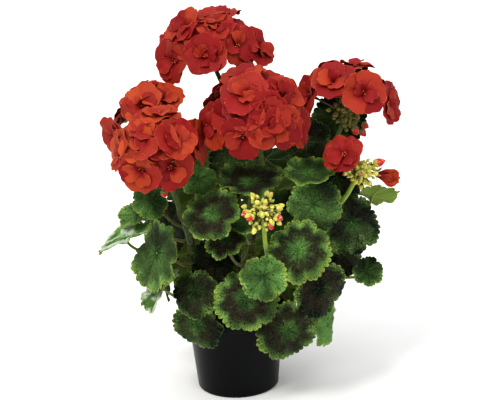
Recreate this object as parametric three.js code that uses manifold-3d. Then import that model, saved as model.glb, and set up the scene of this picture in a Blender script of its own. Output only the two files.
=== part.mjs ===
// A zonal geranium in flower, in a black plastic nursery pot.
//
// Millimetres, +Z up, the viewer's side towards -Y. The origin is the centre of the pot's underside,
// and the plant's trunk stands close to the Z axis. The pot holds the soil, the soil holds the trunk,
// and the trunk's branches carry the leaves, the flower heads and the heads of buds.
// Pieces that touch keep a small gap, so that each one is a solid of its own.

import * as THREE from "three";
import { mergeVertices } from "three/addons/utils/BufferGeometryUtils.js";
import Module from "manifold-3d";

const wasm = await Module();
wasm.setup();

// Driving dimensions

const GAP = 0.3; // between two pieces that touch

const POT = {
  height: 88,
  baseRadius: 43.5,
  neckRadius: 50.8, // outside of the wall, just under the lip
  lipRadius: 55,
  lipHeight: 10,
  lipWall: 3,
  wall: 1.4,
  floor: 2.2,
  chamfer: 1,
  ring: { radius: 27, width: 15, depth: 1.4 }, // under the floor, where the drain holes open
  drain: { holes: 6, radius: 4, sides: 6 },
  sides: 24,
};

const SOIL = {
  top: 76,
  mound: 3,
  clearance: 0.8, // to the pot's wall
  lumps: { height: 1.2, along: 30, across: 24, from: 10 }, // from: the radius outside which it is lumpy
  sides: 20,
};

const TRUNK = { foot: 58, fork: 96, footRadius: 6.5, forkRadius: 5.5, sides: 10 };
const BRANCH_SIDES = 6;
const BARK = 0.2; // spare room on the side of a branch, whose facets aren't quite even

const LEAF = {
  thickness: 1,
  largeRadius: 34, // a leaf over this radius has more lobes
  lobes: 7,
  lobesWhenLarge: 9,
  sinus: 4, // degrees, half of the gap between the two lobes at the base
  notch: 0.12, // how deep the lobes are cut, as a share of the radius
  base: 0.22, // how much shorter the lobes at the base are
  foldRound: 0.08, // how softly a folded leaf bends along its midrib
  droop: 0.12, // how far the tip bends down
  ripple: 0.07, // how far the edge goes up and down
  hang: 0.9, // how far the tip turns down from the way that the petiole runs
  edgeSteps: [0, 0.25, 0.75], // along one lobe
};

const PETIOLE = { radii: [2, 1.8, 1.7, 1.5], sides: 3, bend: 0.3, meets: 0.12 };

const FLOWER = {
  radius: 25.5,
  petals: 5,
  thickness: 0.9,
  throat: 0.35, // where the funnel opens into the petals, as a share of the radius
  funnel: 0.36, // the funnel's depth
  curl: 0.1, // how far the petals' edges bend back
  notch: 0.24, // how deep the cuts between the petals are
  edgeSteps: [0, 0.28, 0.72], // along one petal
  stagger: 1.2, // every third flower stands this much and twice this much further out
};

const PEDUNCLE = { radii: [2.6, 2.4, 2.3, 2.2, 2.2, 2.2], sides: 5, start: 4, knob: 4.5 };
const PEDICEL = { radii: [0.8, 1.8], sides: 3 };
const BUD = { radii: [0.9, 0.9, 3, 0.9], sides: 4 };

// Helpers

const DEGREE = Math.PI / 180;
const UP = new THREE.Vector3(0, 0, 1);
const GOLDEN_ANGLE = 137.508 * DEGREE;

const vector = ([x, y, z]) => new THREE.Vector3(x, y, z);

// The same number from 0 to 1 for the same whole number, every time.
function draw(seed) {
  const value = Math.sin(seed * 12.9898) * 43758.5453;
  return value - Math.floor(value);
}

// A unit vector from its azimuth, counted from +X towards +Y, and its elevation.
function heading([azimuth, elevation]) {
  const level = Math.cos(elevation * DEGREE);
  return new THREE.Vector3(
    level * Math.cos(azimuth * DEGREE),
    level * Math.sin(azimuth * DEGREE),
    Math.sin(elevation * DEGREE),
  );
}

function solidFrom(positions, corners) {
  const mesh = new wasm.Mesh({
    numProp: 3,
    vertProperties: new Float32Array(positions),
    triVerts: new Uint32Array(corners),
  });
  return new wasm.Manifold(mesh);
}

function solidOf(geometry) {
  const plain = geometry.clone();
  plain.deleteAttribute("normal");
  plain.deleteAttribute("uv");
  const merged = mergeVertices(plain, 1e-3);
  return solidFrom(merged.attributes.position.array, merged.index.array);
}

function joined(solids) {
  return solids.reduce((whole, solid) => whole.add(solid));
}

function meshOf(name, solid, material) {
  const { vertProperties, triVerts } = solid.getMesh();
  const geometry = new THREE.BufferGeometry();
  geometry.setAttribute("position", new THREE.BufferAttribute(vertProperties, 3));
  geometry.setIndex(new THREE.BufferAttribute(triVerts, 1));
  geometry.computeVertexNormals();
  const mesh = new THREE.Mesh(geometry, material);
  mesh.name = name;
  return mesh;
}

// A stalk along a curve. radii gives its radius at even steps from the foot to the tip.
function stalk(curve, radii, sides) {
  const steps = radii.length - 1;
  const frames = curve.computeFrenetFrames(steps, false);
  const positions = [];
  const corners = [];
  for (let i = 0; i <= steps; i++) {
    const centre = curve.getPointAt(i / steps);
    for (let j = 0; j < sides; j++) {
      const angle = (2 * Math.PI * j) / sides;
      const point = centre
        .clone()
        .addScaledVector(frames.normals[i], radii[i] * Math.cos(angle))
        .addScaledVector(frames.binormals[i], radii[i] * Math.sin(angle));
      positions.push(point.x, point.y, point.z);
    }
  }
  for (let i = 0; i < steps; i++) {
    for (let j = 0; j < sides; j++) {
      const a = i * sides + j;
      const b = i * sides + ((j + 1) % sides);
      corners.push(a, b, b + sides, a, b + sides, a + sides);
    }
  }
  const last = steps * sides;
  for (let j = 1; j < sides - 1; j++) {
    corners.push(0, j + 1, j, last, last + j, last + j + 1);
  }
  return solidFrom(positions, corners);
}

// The turns of an edge that repeats the same steps, each from 0 to 1, the given number of times.
function repeated(times, steps) {
  return Array.from({ length: times }, (_, i) => steps.map((step) => (i + step) / times)).flat();
}

// A thin closed sheet. surface(reach, turn) gives its middle face, from the centre at reach 0 to the
// edge at reach 1, where turn goes from 0 to 1 about the normal. Each ring has its reach and its list
// of turns, a whole number of times as many as the ring inside it. Both faces are split alike.
function sheet(surface, rings, closed, normal, thickness) {
  const points = [surface(0, 0)];
  const starts = [];
  for (const ring of rings) {
    starts.push(points.length);
    ring.turns.forEach((turn) => points.push(surface(ring.reach, turn)));
    if (!closed) {
      points.push(surface(ring.reach, 1));
    }
  }
  const at = (ring, i) => starts[ring] + (closed ? i % rings[ring].turns.length : i);
  const faces = [];
  for (let i = 0; i < rings[0].turns.length; i++) {
    faces.push([0, at(0, i), at(0, i + 1)]);
  }
  for (let ring = 1; ring < rings.length; ring++) {
    const inner = rings[ring - 1].turns.length;
    const share = rings[ring].turns.length / inner;
    const half = Math.ceil(share / 2);
    for (let i = 0; i < inner; i++) {
      for (let k = 0; k < share; k++) {
        const hub = at(ring - 1, k < half ? i : i + 1);
        faces.push([hub, at(ring, i * share + k), at(ring, i * share + k + 1)]);
      }
      faces.push([at(ring - 1, i), at(ring, i * share + half), at(ring - 1, i + 1)]);
    }
  }
  const under = points.length;
  const corners = [];
  const edges = new Set();
  for (const [a, b, c] of faces) {
    corners.push(a, b, c, under + a, under + c, under + b);
    [`${a},${b}`, `${b},${c}`, `${c},${a}`].forEach((edge) => edges.add(edge));
  }
  for (const edge of edges) {
    const [a, b] = edge.split(",").map(Number);
    if (!edges.has(`${b},${a}`)) {
      corners.push(b, a, under + a, b, under + a, under + b);
    }
  }
  const lift = normal.clone().multiplyScalar(thickness / 2);
  const upper = points.map((point) => point.clone().add(lift));
  const lower = points.map((point) => point.clone().sub(lift));
  return solidFrom(
    [...upper, ...lower].flatMap((point) => point.toArray()),
    corners,
  );
}

// Materials

const materials = {
  pot: new THREE.MeshStandardMaterial({ color: 0x1b1b1d, roughness: 0.45, metalness: 0 }),
  soil: new THREE.MeshStandardMaterial({ color: 0x33261b, roughness: 1, metalness: 0 }),
  stem: new THREE.MeshStandardMaterial({ color: 0x6b6f3a, roughness: 0.8, metalness: 0 }),
  leaf: new THREE.MeshStandardMaterial({ color: 0x3f6b2c, roughness: 0.7, metalness: 0 }),
  stalk: new THREE.MeshStandardMaterial({ color: 0x8aa23f, roughness: 0.7, metalness: 0 }),
  petal: new THREE.MeshStandardMaterial({ color: 0xb81f1c, roughness: 0.6, metalness: 0 }),
};

// Pot: a thin-walled tapered shell with a turned lip, a floor raised on a foot ring, and drain holes

function makePot() {
  const { ring, drain } = POT;
  const lipFoot = POT.height - POT.lipHeight;
  const outside = [
    [0, 0],
    [ring.radius - ring.width / 2 - ring.depth, 0],
    [ring.radius - ring.width / 2, ring.depth],
    [ring.radius + ring.width / 2, ring.depth],
    [ring.radius + ring.width / 2 + ring.depth, 0],
    [POT.baseRadius - POT.chamfer * 2, 0],
    [POT.baseRadius, POT.chamfer * 2],
    [POT.neckRadius, lipFoot - POT.chamfer],
    [POT.lipRadius - POT.chamfer, lipFoot],
    [POT.lipRadius, POT.height - POT.chamfer],
    [POT.lipRadius - POT.chamfer, POT.height],
  ];
  const inside = [
    [POT.lipRadius - POT.lipWall, POT.height],
    [POT.neckRadius - POT.wall, lipFoot - POT.chamfer * 2],
    [POT.baseRadius - POT.wall, ring.depth + POT.floor],
    [0, ring.depth + POT.floor],
  ];
  const profile = [...outside, ...inside].map(([radius, height]) => new THREE.Vector2(radius, height));
  const shell = new THREE.LatheGeometry(profile, POT.sides);
  shell.rotateX(Math.PI / 2);
  let pot = solidOf(shell);
  for (let i = 0; i < drain.holes; i++) {
    const angle = (2 * Math.PI * i) / drain.holes;
    const drill = new THREE.CylinderGeometry(drain.radius, drain.radius, POT.height / 4, drain.sides);
    drill.rotateX(Math.PI / 2);
    drill.translate(ring.radius * Math.cos(angle), ring.radius * Math.sin(angle), 0);
    pot = pot.subtract(solidOf(drill));
  }
  return pot;
}

// Soil: it fills the pot to just under the lip, with a lumpy mound and a plain hole for the trunk

function makeSoil() {
  const { top, mound, clearance, lumps } = SOIL;
  const floor = POT.ring.depth + POT.floor + GAP;
  const taper = (POT.neckRadius - POT.baseRadius) / (POT.height - POT.lipHeight);
  const radiusAt = (height) => POT.baseRadius - POT.wall - clearance + taper * height;
  const rim = radiusAt(top);
  const profile = [
    [0, floor],
    [radiusAt(0), floor],
    [rim, top],
    [(rim * 2) / 3, top + mound * 0.6],
    [rim / 3, top + mound],
    [0, top + mound],
  ].map(([radius, height]) => new THREE.Vector2(radius, height));
  const fill = new THREE.LatheGeometry(profile, SOIL.sides);
  fill.rotateX(Math.PI / 2);
  const place = fill.attributes.position;
  for (let i = 0; i < place.count; i++) {
    const [x, y, z] = [place.getX(i), place.getY(i), place.getZ(i)];
    if (z > top + GAP && Math.hypot(x, y) > lumps.from) {
      const along = Math.sin((2 * Math.PI * x) / lumps.along + 1);
      const across = Math.cos((2 * Math.PI * y) / lumps.across);
      place.setZ(i, z + lumps.height * along * across);
    }
  }
  const radius = TRUNK.footRadius + GAP;
  const hole = new THREE.CylinderGeometry(radius, radius, POT.height, TRUNK.sides);
  hole.rotateX(Math.PI / 2);
  hole.translate(0, 0, TRUNK.foot - GAP + POT.height / 2);
  return solidOf(fill).subtract(solidOf(hole));
}

// Stem: one trunk that forks into branches just above the soil. Each branch is a curve through points

const BRANCHES = {
  centre: {
    points: [[0, 0, 88], [3, 2, 120], [6, 4, 165], [8, 4, 212]],
    radii: [4.6, 4.2, 3.8, 3.4],
  },
  front: {
    points: [[0, 0, 86], [9, -20, 112], [18, -38, 146], [22, -48, 178]],
    radii: [4.4, 4, 3.6, 3.2],
  },
  left: {
    points: [[0, 0, 84], [-22, -8, 112], [-40, -15, 152], [-46, -18, 196]],
    radii: [4.6, 4.2, 3.8, 3.2],
  },
  right: {
    points: [[0, 0, 85], [26, -4, 114], [50, -8, 154], [62, -6, 200]],
    radii: [4.6, 4.2, 3.8, 3.2],
  },
  back: {
    points: [[0, 0, 86], [0, 22, 114], [-4, 38, 154], [-6, 42, 198]],
    radii: [4.4, 4, 3.6, 3.2],
  },
};

const branchCurve = (branch) => new THREE.CatmullRomCurve3(BRANCHES[branch].points.map(vector));

function makeStem() {
  const { foot, fork, footRadius, forkRadius, sides } = TRUNK;
  const trunk = new THREE.CylinderGeometry(forkRadius, footRadius, fork - foot, sides);
  trunk.rotateX(Math.PI / 2);
  trunk.translate(0, 0, (foot + fork) / 2);
  const branches = Object.keys(BRANCHES).map((branch) => {
    return stalk(branchCurve(branch), BRANCHES[branch].radii, BRANCH_SIDES);
  });
  return joined([solidOf(trunk), ...branches]);
}

// Where a petiole or a flower stalk stands on the side of a branch, towards a place: its foot, just
// clear of the bark, and the way out.
function standOn(branch, height, place) {
  const curve = branchCurve(branch);
  const centre = curve.getPointAt(height);
  const outward = place.clone().sub(centre).projectOnPlane(curve.getTangentAt(height)).normalize();
  const { radii } = BRANCHES[branch];
  const clear = THREE.MathUtils.lerp(radii.at(0), radii.at(-1), height) + BARK + GAP;
  return { foot: centre.addScaledVector(outward, clear), outward };
}

// Leaves. Each row holds the branch and how far up it the petiole leaves, where the petiole meets the
// blade, the blade's radius, the way its upper face looks as azimuth and elevation, and its form: cup
// bends the edge up and fold bends both halves up.

const LEAVES = [
  // front, from the middle down
  ["front", 0.78, [66, -98, 183], 36, [-80, 18], { cup: 0.1 }],
  ["front", 0.3, [12, -97, 133], 36, [-95, 10], { cup: -0.1 }],
  ["front", 0.86, [31, -121, 165], 26, [-95, 18], { cup: 0.15 }],
  ["right", 0.81, [84, -67, 220], 32, [-73, 22], { cup: 0.12 }],
  ["right", 0.9, [81, -50, 247], 28, [-82, 70], { cup: 0.25 }],
  ["centre", 0.8, [23, -60, 244], 36, [-90, 74], { cup: 0.25 }],
  ["left", 0.85, [-17, -91, 222], 32, [-113, 49], { cup: 0.1 }],
  ["front", 1.0, [14, -87, 212], 19, [-96, 59], { cup: 0.1 }],
  ["front", 0.73, [-5, -87, 193], 23, [-107, 61], { cup: -0.1 }],
  // left side and round the pot's rim
  ["left", 0.6, [-76, -66, 175], 42, [-149, 19], { cup: 0.05 }],
  ["left", 0.31, [-72, -64, 136], 30, [-179, 49], { fold: 0.1 }],
  ["left", 0.28, [-39, -74, 134], 29, [-118, 21], { cup: -0.1 }],
  ["front", 0.12, [-39, -70, 95], 30, [-112, -5], { cup: -0.15 }],
  ["front", 0.34, [53, -72, 88], 37, [-76, 0], { cup: -0.15 }],
  ["right", 0.38, [89, -59, 127], 34, [-62, 7], { cup: -0.1 }],
  ["right", 0.34, [97, -37, 76], 25, [-33, -3], { fold: -0.2 }],
  // right side
  ["right", 0.7, [126, -23, 185], 36, [-66, 20], { fold: -0.35 }],
  ["right", 0.5, [142, 1, 120], 19, [-80, 43], { fold: 0.3 }],
  ["right", 0.8, [151, 23, 198], 31, [80, 61], { fold: 0.2 }],
  ["right", 1.0, [116, 29, 281], 33, [-97, 35], { cup: 0.1 }],
  ["centre", 0.6, [48, -53, 206], 32, [-98, 32], { cup: 0.1 }],
  ["centre", 0.95, [4, 0, 244], 28, [-101, 14], { cup: 0.15 }],
  ["left", 0.95, [-31, -55, 248], 21, [-72, 48], { cup: 0.1 }],
  // left side, high
  ["left", 0.67, [-112, -9, 173], 33, [-179, 71], { fold: 0.12 }],
  ["left", 0.92, [-81, -20, 216], 21, [-89, 5], { fold: 0.1 }],
  ["left", 0.78, [-100, 13, 191], 21, [-105, 68], { cup: 0.1 }],
  ["right", 0.9, [114, 7, 227], 31, [-104, 10], { cup: 0.1 }],
  ["centre", 1.0, [82, -5, 268], 28, [-103, 21], { cup: 0.1 }],
  // back
  ["back", 0.9, [-31, 55, 246], 34, [110, 26], { cup: 0.1 }],
  ["back", 0.95, [7, 59, 258], 34, [90, 44], { cup: 0.15 }],
  ["centre", 0.85, [39, 34, 242], 32, [70, 40], { cup: 0.1 }],
  ["back", 0.65, [-69, 50, 162], 40, [-136, 10], { cup: 0.1 }],
  ["back", 0.83, [-28, 97, 191], 48, [95, 31], { cup: -0.1 }],
  ["back", 0.6, [41, 83, 189], 40, [117, 28], { cup: 0.1 }],
  ["right", 0.61, [115, 24, 140], 34, [-57, 27], { cup: -0.1 }],
  ["back", 0.32, [-54, 74, 117], 35, [138, -2], { cup: -0.1 }],
  ["back", 0.4, [15, 98, 122], 41, [90, 12], { cup: -0.1 }],
  ["back", 0.12, [59, 40, 114], 43, [63, 0], { cup: -0.1 }],
  ["left", 0.2, [-74, 10, 128], 34, [-177, 3], { cup: -0.1 }],
  // inside, behind the front leaves
  ["front", 0.4, [-16, -44, 156], 29, [-91, 23], { cup: 0.1 }],
];

// The distance from the joint to the edge, as a share of the radius: scallops on a kidney shape.
function leafOutline(lobes, turn) {
  const fromTip = Math.abs(turn - 0.5) * 2;
  const scallop = 1 - Math.abs(Math.sin(Math.PI * lobes * turn)) ** 0.6;
  return (1 - LEAF.base * fromTip ** 2.2) * (1 - LEAF.notch * scallop);
}

// The height of a leaf's middle face over its plane, both as shares of its radius.
function leafHeight(form, seed, along, across) {
  const { cup = 0, fold = 0 } = form;
  const reach = Math.hypot(along, across);
  const angle = Math.atan2(across, along);
  const bend = cup * reach ** 2 + fold * (Math.hypot(across, LEAF.foldRound) - LEAF.foldRound);
  const ripple = LEAF.ripple * reach ** 2 * Math.sin(3 * angle + 2 * Math.PI * draw(seed));
  return bend + ripple - LEAF.droop * Math.max(along, 0) ** 2;
}

function makeLeaf(row, seed) {
  const [branch, height, place, radius, faces, form] = row;
  const joint = vector(place);
  const { foot, outward } = standOn(branch, height, joint);
  const travel = joint.clone().sub(foot);
  const normal = heading(faces);
  const hanging = travel.clone().normalize().addScaledVector(UP, -LEAF.hang);
  const tip = hanging.projectOnPlane(normal).normalize();
  const side = normal.clone().cross(tip);
  const lobes = radius > LEAF.largeRadius ? LEAF.lobesWhenLarge : LEAF.lobes;

  const surface = (reach, turn) => {
    const angle = (turn - 0.5) * 2 * (Math.PI - LEAF.sinus * DEGREE);
    const far = reach * leafOutline(lobes, turn);
    const [along, across] = [far * Math.cos(angle), far * Math.sin(angle)];
    return joint
      .clone()
      .addScaledVector(tip, radius * along)
      .addScaledVector(side, radius * across)
      .addScaledVector(normal, radius * leafHeight(form, seed, along, across));
  };
  const edge = { reach: 1, turns: repeated(lobes, LEAF.edgeSteps) };
  const blade = sheet(surface, [edge], false, normal, LEAF.thickness);

  const bend = travel.length() * PETIOLE.bend;
  const end = surface(PETIOLE.meets, 0.5);
  const path = new THREE.CubicBezierCurve3(
    foot,
    foot.clone().addScaledVector(outward, bend),
    end.clone().addScaledVector(normal, -bend),
    end,
  );
  return blade.add(stalk(path, PETIOLE.radii, PETIOLE.sides));
}

// Flower heads. Every flower stands on a pedicel, away from the hub at the top of the flower stalk.
// shown holds the flowers seen from the front, as azimuth and elevation from the hub, and the rest of
// the head, up to spread degrees from the way it looks, is filled by the golden angle. size is the
// flowers' size. buds holds the buds that hang or stand among them, as azimuth, elevation and length.
// The flower stalk leaves its branch at a height from 0 to 1 and passes by the points listed.

const HEADS = {
  top: {
    hub: [-12, 45, 346],
    looks: [60, 80],
    spread: 88,
    reach: 46,
    size: 1,
    shown: [[-98, 20], [-146, 11], [178, 14], [-50, 28], [-149, 54], [-12, 16], [-80, 62]],
    buds: [],
    stalk: { branch: "centre", height: 0.98, by: [[12, 12, 250], [5, 26, 302]] },
  },
  far_left: {
    hub: [-76, -3, 291],
    looks: [150, 60],
    spread: 58,
    reach: 33,
    size: 1,
    shown: [[-110, 50], [-41, 61], [-161, -7], [150, 12]],
    buds: [[-70, 8, 15], [-20, 5, 15]],
    stalk: { branch: "left", height: 0.98, by: [[-56, -14, 225], [-67, -10, 262]] },
  },
  left: {
    hub: [-68, -70, 283],
    looks: [-95, 20],
    spread: 95,
    reach: 32,
    size: 1,
    shown: [[-65, -17], [-119, -18], [-168, 6], [-118, 30], [-54, 29], [1, 12]],
    buds: [[-60, -78, 44]],
    stalk: { branch: "left", height: 0.8, by: [[-47, -50, 200], [-56, -57, 236]] },
  },
  middle: {
    hub: [31, -48, 306],
    looks: [100, 18],
    spread: 46,
    reach: 42,
    size: 1,
    shown: [
      [-110, -8], [-108, 44], [-60, 2], [-19, -9], [-155, -2], [-46, 34], [-75, 22], [-162, 76], [110, 42],
    ],
    buds: [],
    stalk: { branch: "front", height: 0.97, by: [[34, -18, 232], [34, -14, 266]] },
  },
  right: {
    hub: [124, 1, 295],
    looks: [75, 66],
    spread: 58,
    reach: 44,
    size: 1,
    shown: [[-162, 32], [-123, 57], [-64, 39], [-17, 17]],
    buds: [[-178, 18, 22], [174, 45, 18], [-149, 5, 16], [-60, -34, 18], [-30, -42, 30], [-100, -45, 16]],
    stalk: { branch: "right", height: 0.96, by: [[94, -2, 235], [114, 2, 270]] },
  },
  opening: {
    hub: [135, -39, 244],
    looks: [-128, 36],
    spread: 0,
    reach: 38,
    size: 0.9,
    shown: [[-127, 40]],
    buds: [
      [-40, 4, 22], [-20, 30, 30], [-62, -26, 22], [-115, -22, 20], [-154, 4, 22],
      [-90, 12, 18], [-74, 50, 19], [40, 10, 20], [120, 20, 20],
    ],
    stalk: { branch: "right", height: 0.88, by: [[110, -34, 206]] },
  },
};

const BUD_HEAD = {
  hub: [33, -110, 228],
  looks: [-90, 55],
  spread: 112,
  reach: [21, 26],
  buds: 13,
  stalk: { branch: "front", height: 0.7, by: [[36, -84, 162], [34, -104, 196]] },
};

// The flower that is about to open beside the opening head's buds.
const UNFOLDING = { toward: [-8, -10], from: 19, to: 43, radii: [2, 5.5, 7, 6.5, 3], sides: 8 };

const SPACING = { angle: 37 * DEGREE, reach: 45 }; // between neighbours on a head with this reach
const TRIES = 120;

// Even directions over a cap of a sphere, from the middle of the cap outwards.
function capDirections(looks, spread, count) {
  const axis = heading(looks);
  const side = axis.clone().cross(UP).normalize();
  const top = side.clone().cross(axis);
  return Array.from({ length: count }, (_, i) => {
    const level = 1 - ((i + 0.5) / count) * (1 - Math.cos(spread * DEGREE));
    const away = Math.sqrt(1 - level ** 2);
    return axis
      .clone()
      .multiplyScalar(level)
      .addScaledVector(side, away * Math.cos(i * GOLDEN_ANGLE))
      .addScaledVector(top, away * Math.sin(i * GOLDEN_ANGLE));
  });
}

function flowerDirections({ looks, spread, reach, shown }) {
  const spacing = SPACING.angle * (SPACING.reach / reach);
  const directions = shown.map(heading);
  for (const direction of capDirections(looks, spread, TRIES)) {
    if (directions.every((other) => other.angleTo(direction) > spacing)) {
      directions.push(direction);
    }
  }
  return directions;
}

const flowerReach = (head, i) => head.reach + FLOWER.stagger * (i % 3);

// A five-petalled flower: a funnel that opens from its centre into broad notched petals.
function corolla(centre, axis, roll, radius) {
  const { petals, throat, funnel, curl, notch } = FLOWER;
  const side = UP.clone().cross(axis).normalize();
  const top = axis.clone().cross(side);
  const surface = (reach, turn) => {
    const across = Math.abs(((turn * petals) % 1) - 0.5) * 2;
    const far = radius * reach * (1 - notch * across ** 4);
    const angle = turn * 2 * Math.PI + roll;
    const depth = funnel * Math.sin((Math.min(reach * 2, 1) * Math.PI) / 2) - curl * reach ** 2;
    return centre
      .clone()
      .addScaledVector(side, far * Math.cos(angle))
      .addScaledVector(top, far * Math.sin(angle))
      .addScaledVector(axis, radius * depth);
  };
  const rings = [
    { reach: throat, turns: repeated(petals, [0]) },
    { reach: 1, turns: repeated(petals, FLOWER.edgeSteps) },
  ];
  return sheet(surface, rings, true, axis, FLOWER.thickness);
}

function makePetals(head) {
  const hub = vector(head.hub);
  const flowers = flowerDirections(head).map((direction, i) => {
    const centre = hub.clone().addScaledVector(direction, flowerReach(head, i));
    return corolla(centre, direction, 2 * Math.PI * draw(head.reach + i), FLOWER.radius * head.size);
  });
  return joined(flowers);
}

// A flower stalk, with the swollen knob at its top that the pedicels grow from.
function makePeduncle(head) {
  const hub = vector(head.hub);
  const { branch, height, by } = head.stalk;
  const route = by.map(vector);
  const { foot, outward } = standOn(branch, height, route[0]);
  const start = foot.clone().addScaledVector(outward, PEDUNCLE.start);
  const path = new THREE.CatmullRomCurve3([foot, start, ...route, hub]);
  const knob = new THREE.IcosahedronGeometry(PEDUNCLE.knob, 0);
  knob.translate(...head.hub);
  return stalk(path, PEDUNCLE.radii, PEDUNCLE.sides).add(solidOf(knob));
}

// A straight piece that points away from the hub, from one distance to another.
function spoke(hub, direction, from, to, { radii, sides }) {
  const root = hub.clone().addScaledVector(direction, from);
  const tip = hub.clone().addScaledVector(direction, to);
  return stalk(new THREE.LineCurve3(root, tip), radii, sides);
}

const fromKnob = (hub, direction, length, form) => spoke(hub, direction, PEDUNCLE.knob / 2, length, form);

function makeStalks(head) {
  const hub = vector(head.hub);
  const clear = FLOWER.thickness / 2 + GAP;
  const pedicels = flowerDirections(head).map((direction, i) =>
    fromKnob(hub, direction, flowerReach(head, i) - clear, PEDICEL),
  );
  const buds = head.buds.map(([azimuth, elevation, length]) =>
    fromKnob(hub, heading([azimuth, elevation]), length, BUD),
  );
  return joined([makePeduncle(head), ...pedicels, ...buds]);
}

function makeBudHead() {
  const hub = vector(BUD_HEAD.hub);
  const buds = capDirections(BUD_HEAD.looks, BUD_HEAD.spread, BUD_HEAD.buds).map((direction, i) =>
    fromKnob(hub, direction, THREE.MathUtils.lerp(...BUD_HEAD.reach, draw(i)), BUD),
  );
  return joined([makePeduncle(BUD_HEAD), ...buds]);
}

function makeUnfoldingFlower() {
  const hub = vector(HEADS.opening.hub);
  return spoke(hub, heading(UNFOLDING.toward), UNFOLDING.from, UNFOLDING.to, UNFOLDING);
}

// The whole plant in its pot

const geranium = new THREE.Group();

geranium.add(meshOf("pot", makePot(), materials.pot));
geranium.add(meshOf("soil", makeSoil(), materials.soil));
geranium.add(meshOf("stem", makeStem(), materials.stem));
LEAVES.forEach((row, i) => {
  const name = `leaf_${String(i + 1).padStart(2, "0")}`;
  geranium.add(meshOf(name, makeLeaf(row, i + 1), materials.leaf));
});
for (const [name, head] of Object.entries(HEADS)) {
  geranium.add(meshOf(`${name}_head_petals`, makePetals(head), materials.petal));
  geranium.add(meshOf(`${name}_head_stalks`, makeStalks(head), materials.stalk));
}
geranium.add(meshOf("unfolding_flower", makeUnfoldingFlower(), materials.petal));
geranium.add(meshOf("bud_head", makeBudHead(), materials.stalk));

export default geranium;
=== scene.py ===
# A zonal geranium in flower, in a black nursery pot: the looks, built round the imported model.
#
# Shapes are worked out in millimetres, +Z up, and turned into metres where a mesh is made. The branches,
# leaves and flower heads stand where the model has them, from the same named values.

import math
from functools import partialmethod
from types import SimpleNamespace as Values

import bpy
import numpy as np
from mathutils import Matrix


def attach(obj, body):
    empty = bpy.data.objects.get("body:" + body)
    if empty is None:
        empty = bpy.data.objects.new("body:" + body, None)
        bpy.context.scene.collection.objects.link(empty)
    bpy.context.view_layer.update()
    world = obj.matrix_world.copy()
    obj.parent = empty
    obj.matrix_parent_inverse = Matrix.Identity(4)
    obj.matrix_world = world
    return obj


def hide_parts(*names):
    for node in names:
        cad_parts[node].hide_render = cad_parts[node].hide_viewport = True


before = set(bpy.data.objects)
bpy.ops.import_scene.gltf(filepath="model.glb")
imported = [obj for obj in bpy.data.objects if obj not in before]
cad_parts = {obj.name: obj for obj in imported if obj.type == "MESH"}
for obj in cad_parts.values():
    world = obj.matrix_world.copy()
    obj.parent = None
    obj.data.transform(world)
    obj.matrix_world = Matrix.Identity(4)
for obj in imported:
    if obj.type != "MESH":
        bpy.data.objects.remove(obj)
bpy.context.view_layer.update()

MM = 0.001
RIGHT = np.array([1.0, 0.0, 0.0])
UP = np.array([0.0, 0.0, 1.0])
GOLDEN_ANGLE = math.radians(137.508)
TURN = 2 * math.pi


# Numbers and directions

def draw(seed):
    """The same number from 0 to 1 for the same seed, every time."""
    value = math.sin(seed * 12.9898) * 43758.5453
    return value - math.floor(value)


def between(low, high, seed):
    return low + (high - low) * draw(seed)


def unit(vectors):
    return vectors / np.linalg.norm(vectors, axis=-1, keepdims=True)


def heading(azimuth, elevation):
    """A unit vector from its azimuth, counted from +X towards +Y, and its elevation, in degrees."""
    turn, rise = math.radians(azimuth), math.radians(elevation)
    return np.array([math.cos(rise) * math.cos(turn), math.cos(rise) * math.sin(turn), math.sin(rise)])


def drawn_heading(one_seed, other_seed):
    return heading(360 * draw(one_seed), 180 * draw(other_seed) - 90)


def frame_of(axis):
    """Two unit vectors that stand square to an axis and to each other: one level, one upwards."""
    side = unit(np.cross(UP, axis))
    return side, np.cross(axis, side)


def laid_out(*parts):
    """The sum of vectors, each times an array of lengths of its own."""
    return sum(lengths[..., None] * vector for vector, lengths in parts)


def turned(axes, angle):
    """The unit vector at an angle in the plane of two others."""
    return axes[0] * math.cos(angle) + axes[1] * math.sin(angle)


# Curves

class Curve:
    """A centripetal Catmull-Rom curve through points. at(share) goes along it by length."""

    STEPS = 200

    def __init__(self, points):
        points = np.array(points, float)
        first = 2 * points[0] - points[1]
        last = 2 * points[-1] - points[-2]
        self.knots = np.vstack([first, points, last])
        self.track = np.array([self.point(i / self.STEPS) for i in range(self.STEPS + 1)])
        pieces = np.linalg.norm(np.diff(self.track, axis=0), axis=1)
        self.shares = np.concatenate([[0], np.cumsum(pieces)]) / pieces.sum()

    def point(self, t):
        spans = len(self.knots) - 3
        span = min(int(t * spans), spans - 1)
        w = t * spans - span
        p0, p1, p2, p3 = self.knots[span:span + 4]
        d0, d1, d2 = (np.linalg.norm(b - a) ** 0.5 for a, b in ((p0, p1), (p1, p2), (p2, p3)))
        m1 = ((p1 - p0) / d0 - (p2 - p0) / (d0 + d1) + (p2 - p1) / d1) * d1
        m2 = ((p2 - p1) / d1 - (p3 - p1) / (d1 + d2) + (p3 - p2) / d2) * d1
        return p1 + m1 * w + (3 * (p2 - p1) - 2 * m1 - m2) * w ** 2 + (2 * (p1 - p2) + m1 + m2) * w ** 3

    def at(self, share):
        return np.stack([np.interp(share, self.shares, self.track[:, k]) for k in range(3)], axis=-1)

    def tangent(self, share):
        step = 1 / self.STEPS
        return unit(self.at(min(share + step, 1)) - self.at(max(share - step, 0)))


def bezier(p0, p1, p2, p3, count):
    t = np.linspace(0, 1, count)[:, None]
    return (1 - t) ** 3 * p0 + 3 * (1 - t) ** 2 * t * p1 + 3 * (1 - t) * t ** 2 * p2 + t ** 3 * p3


# Faces over points that are laid out row by row

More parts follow.
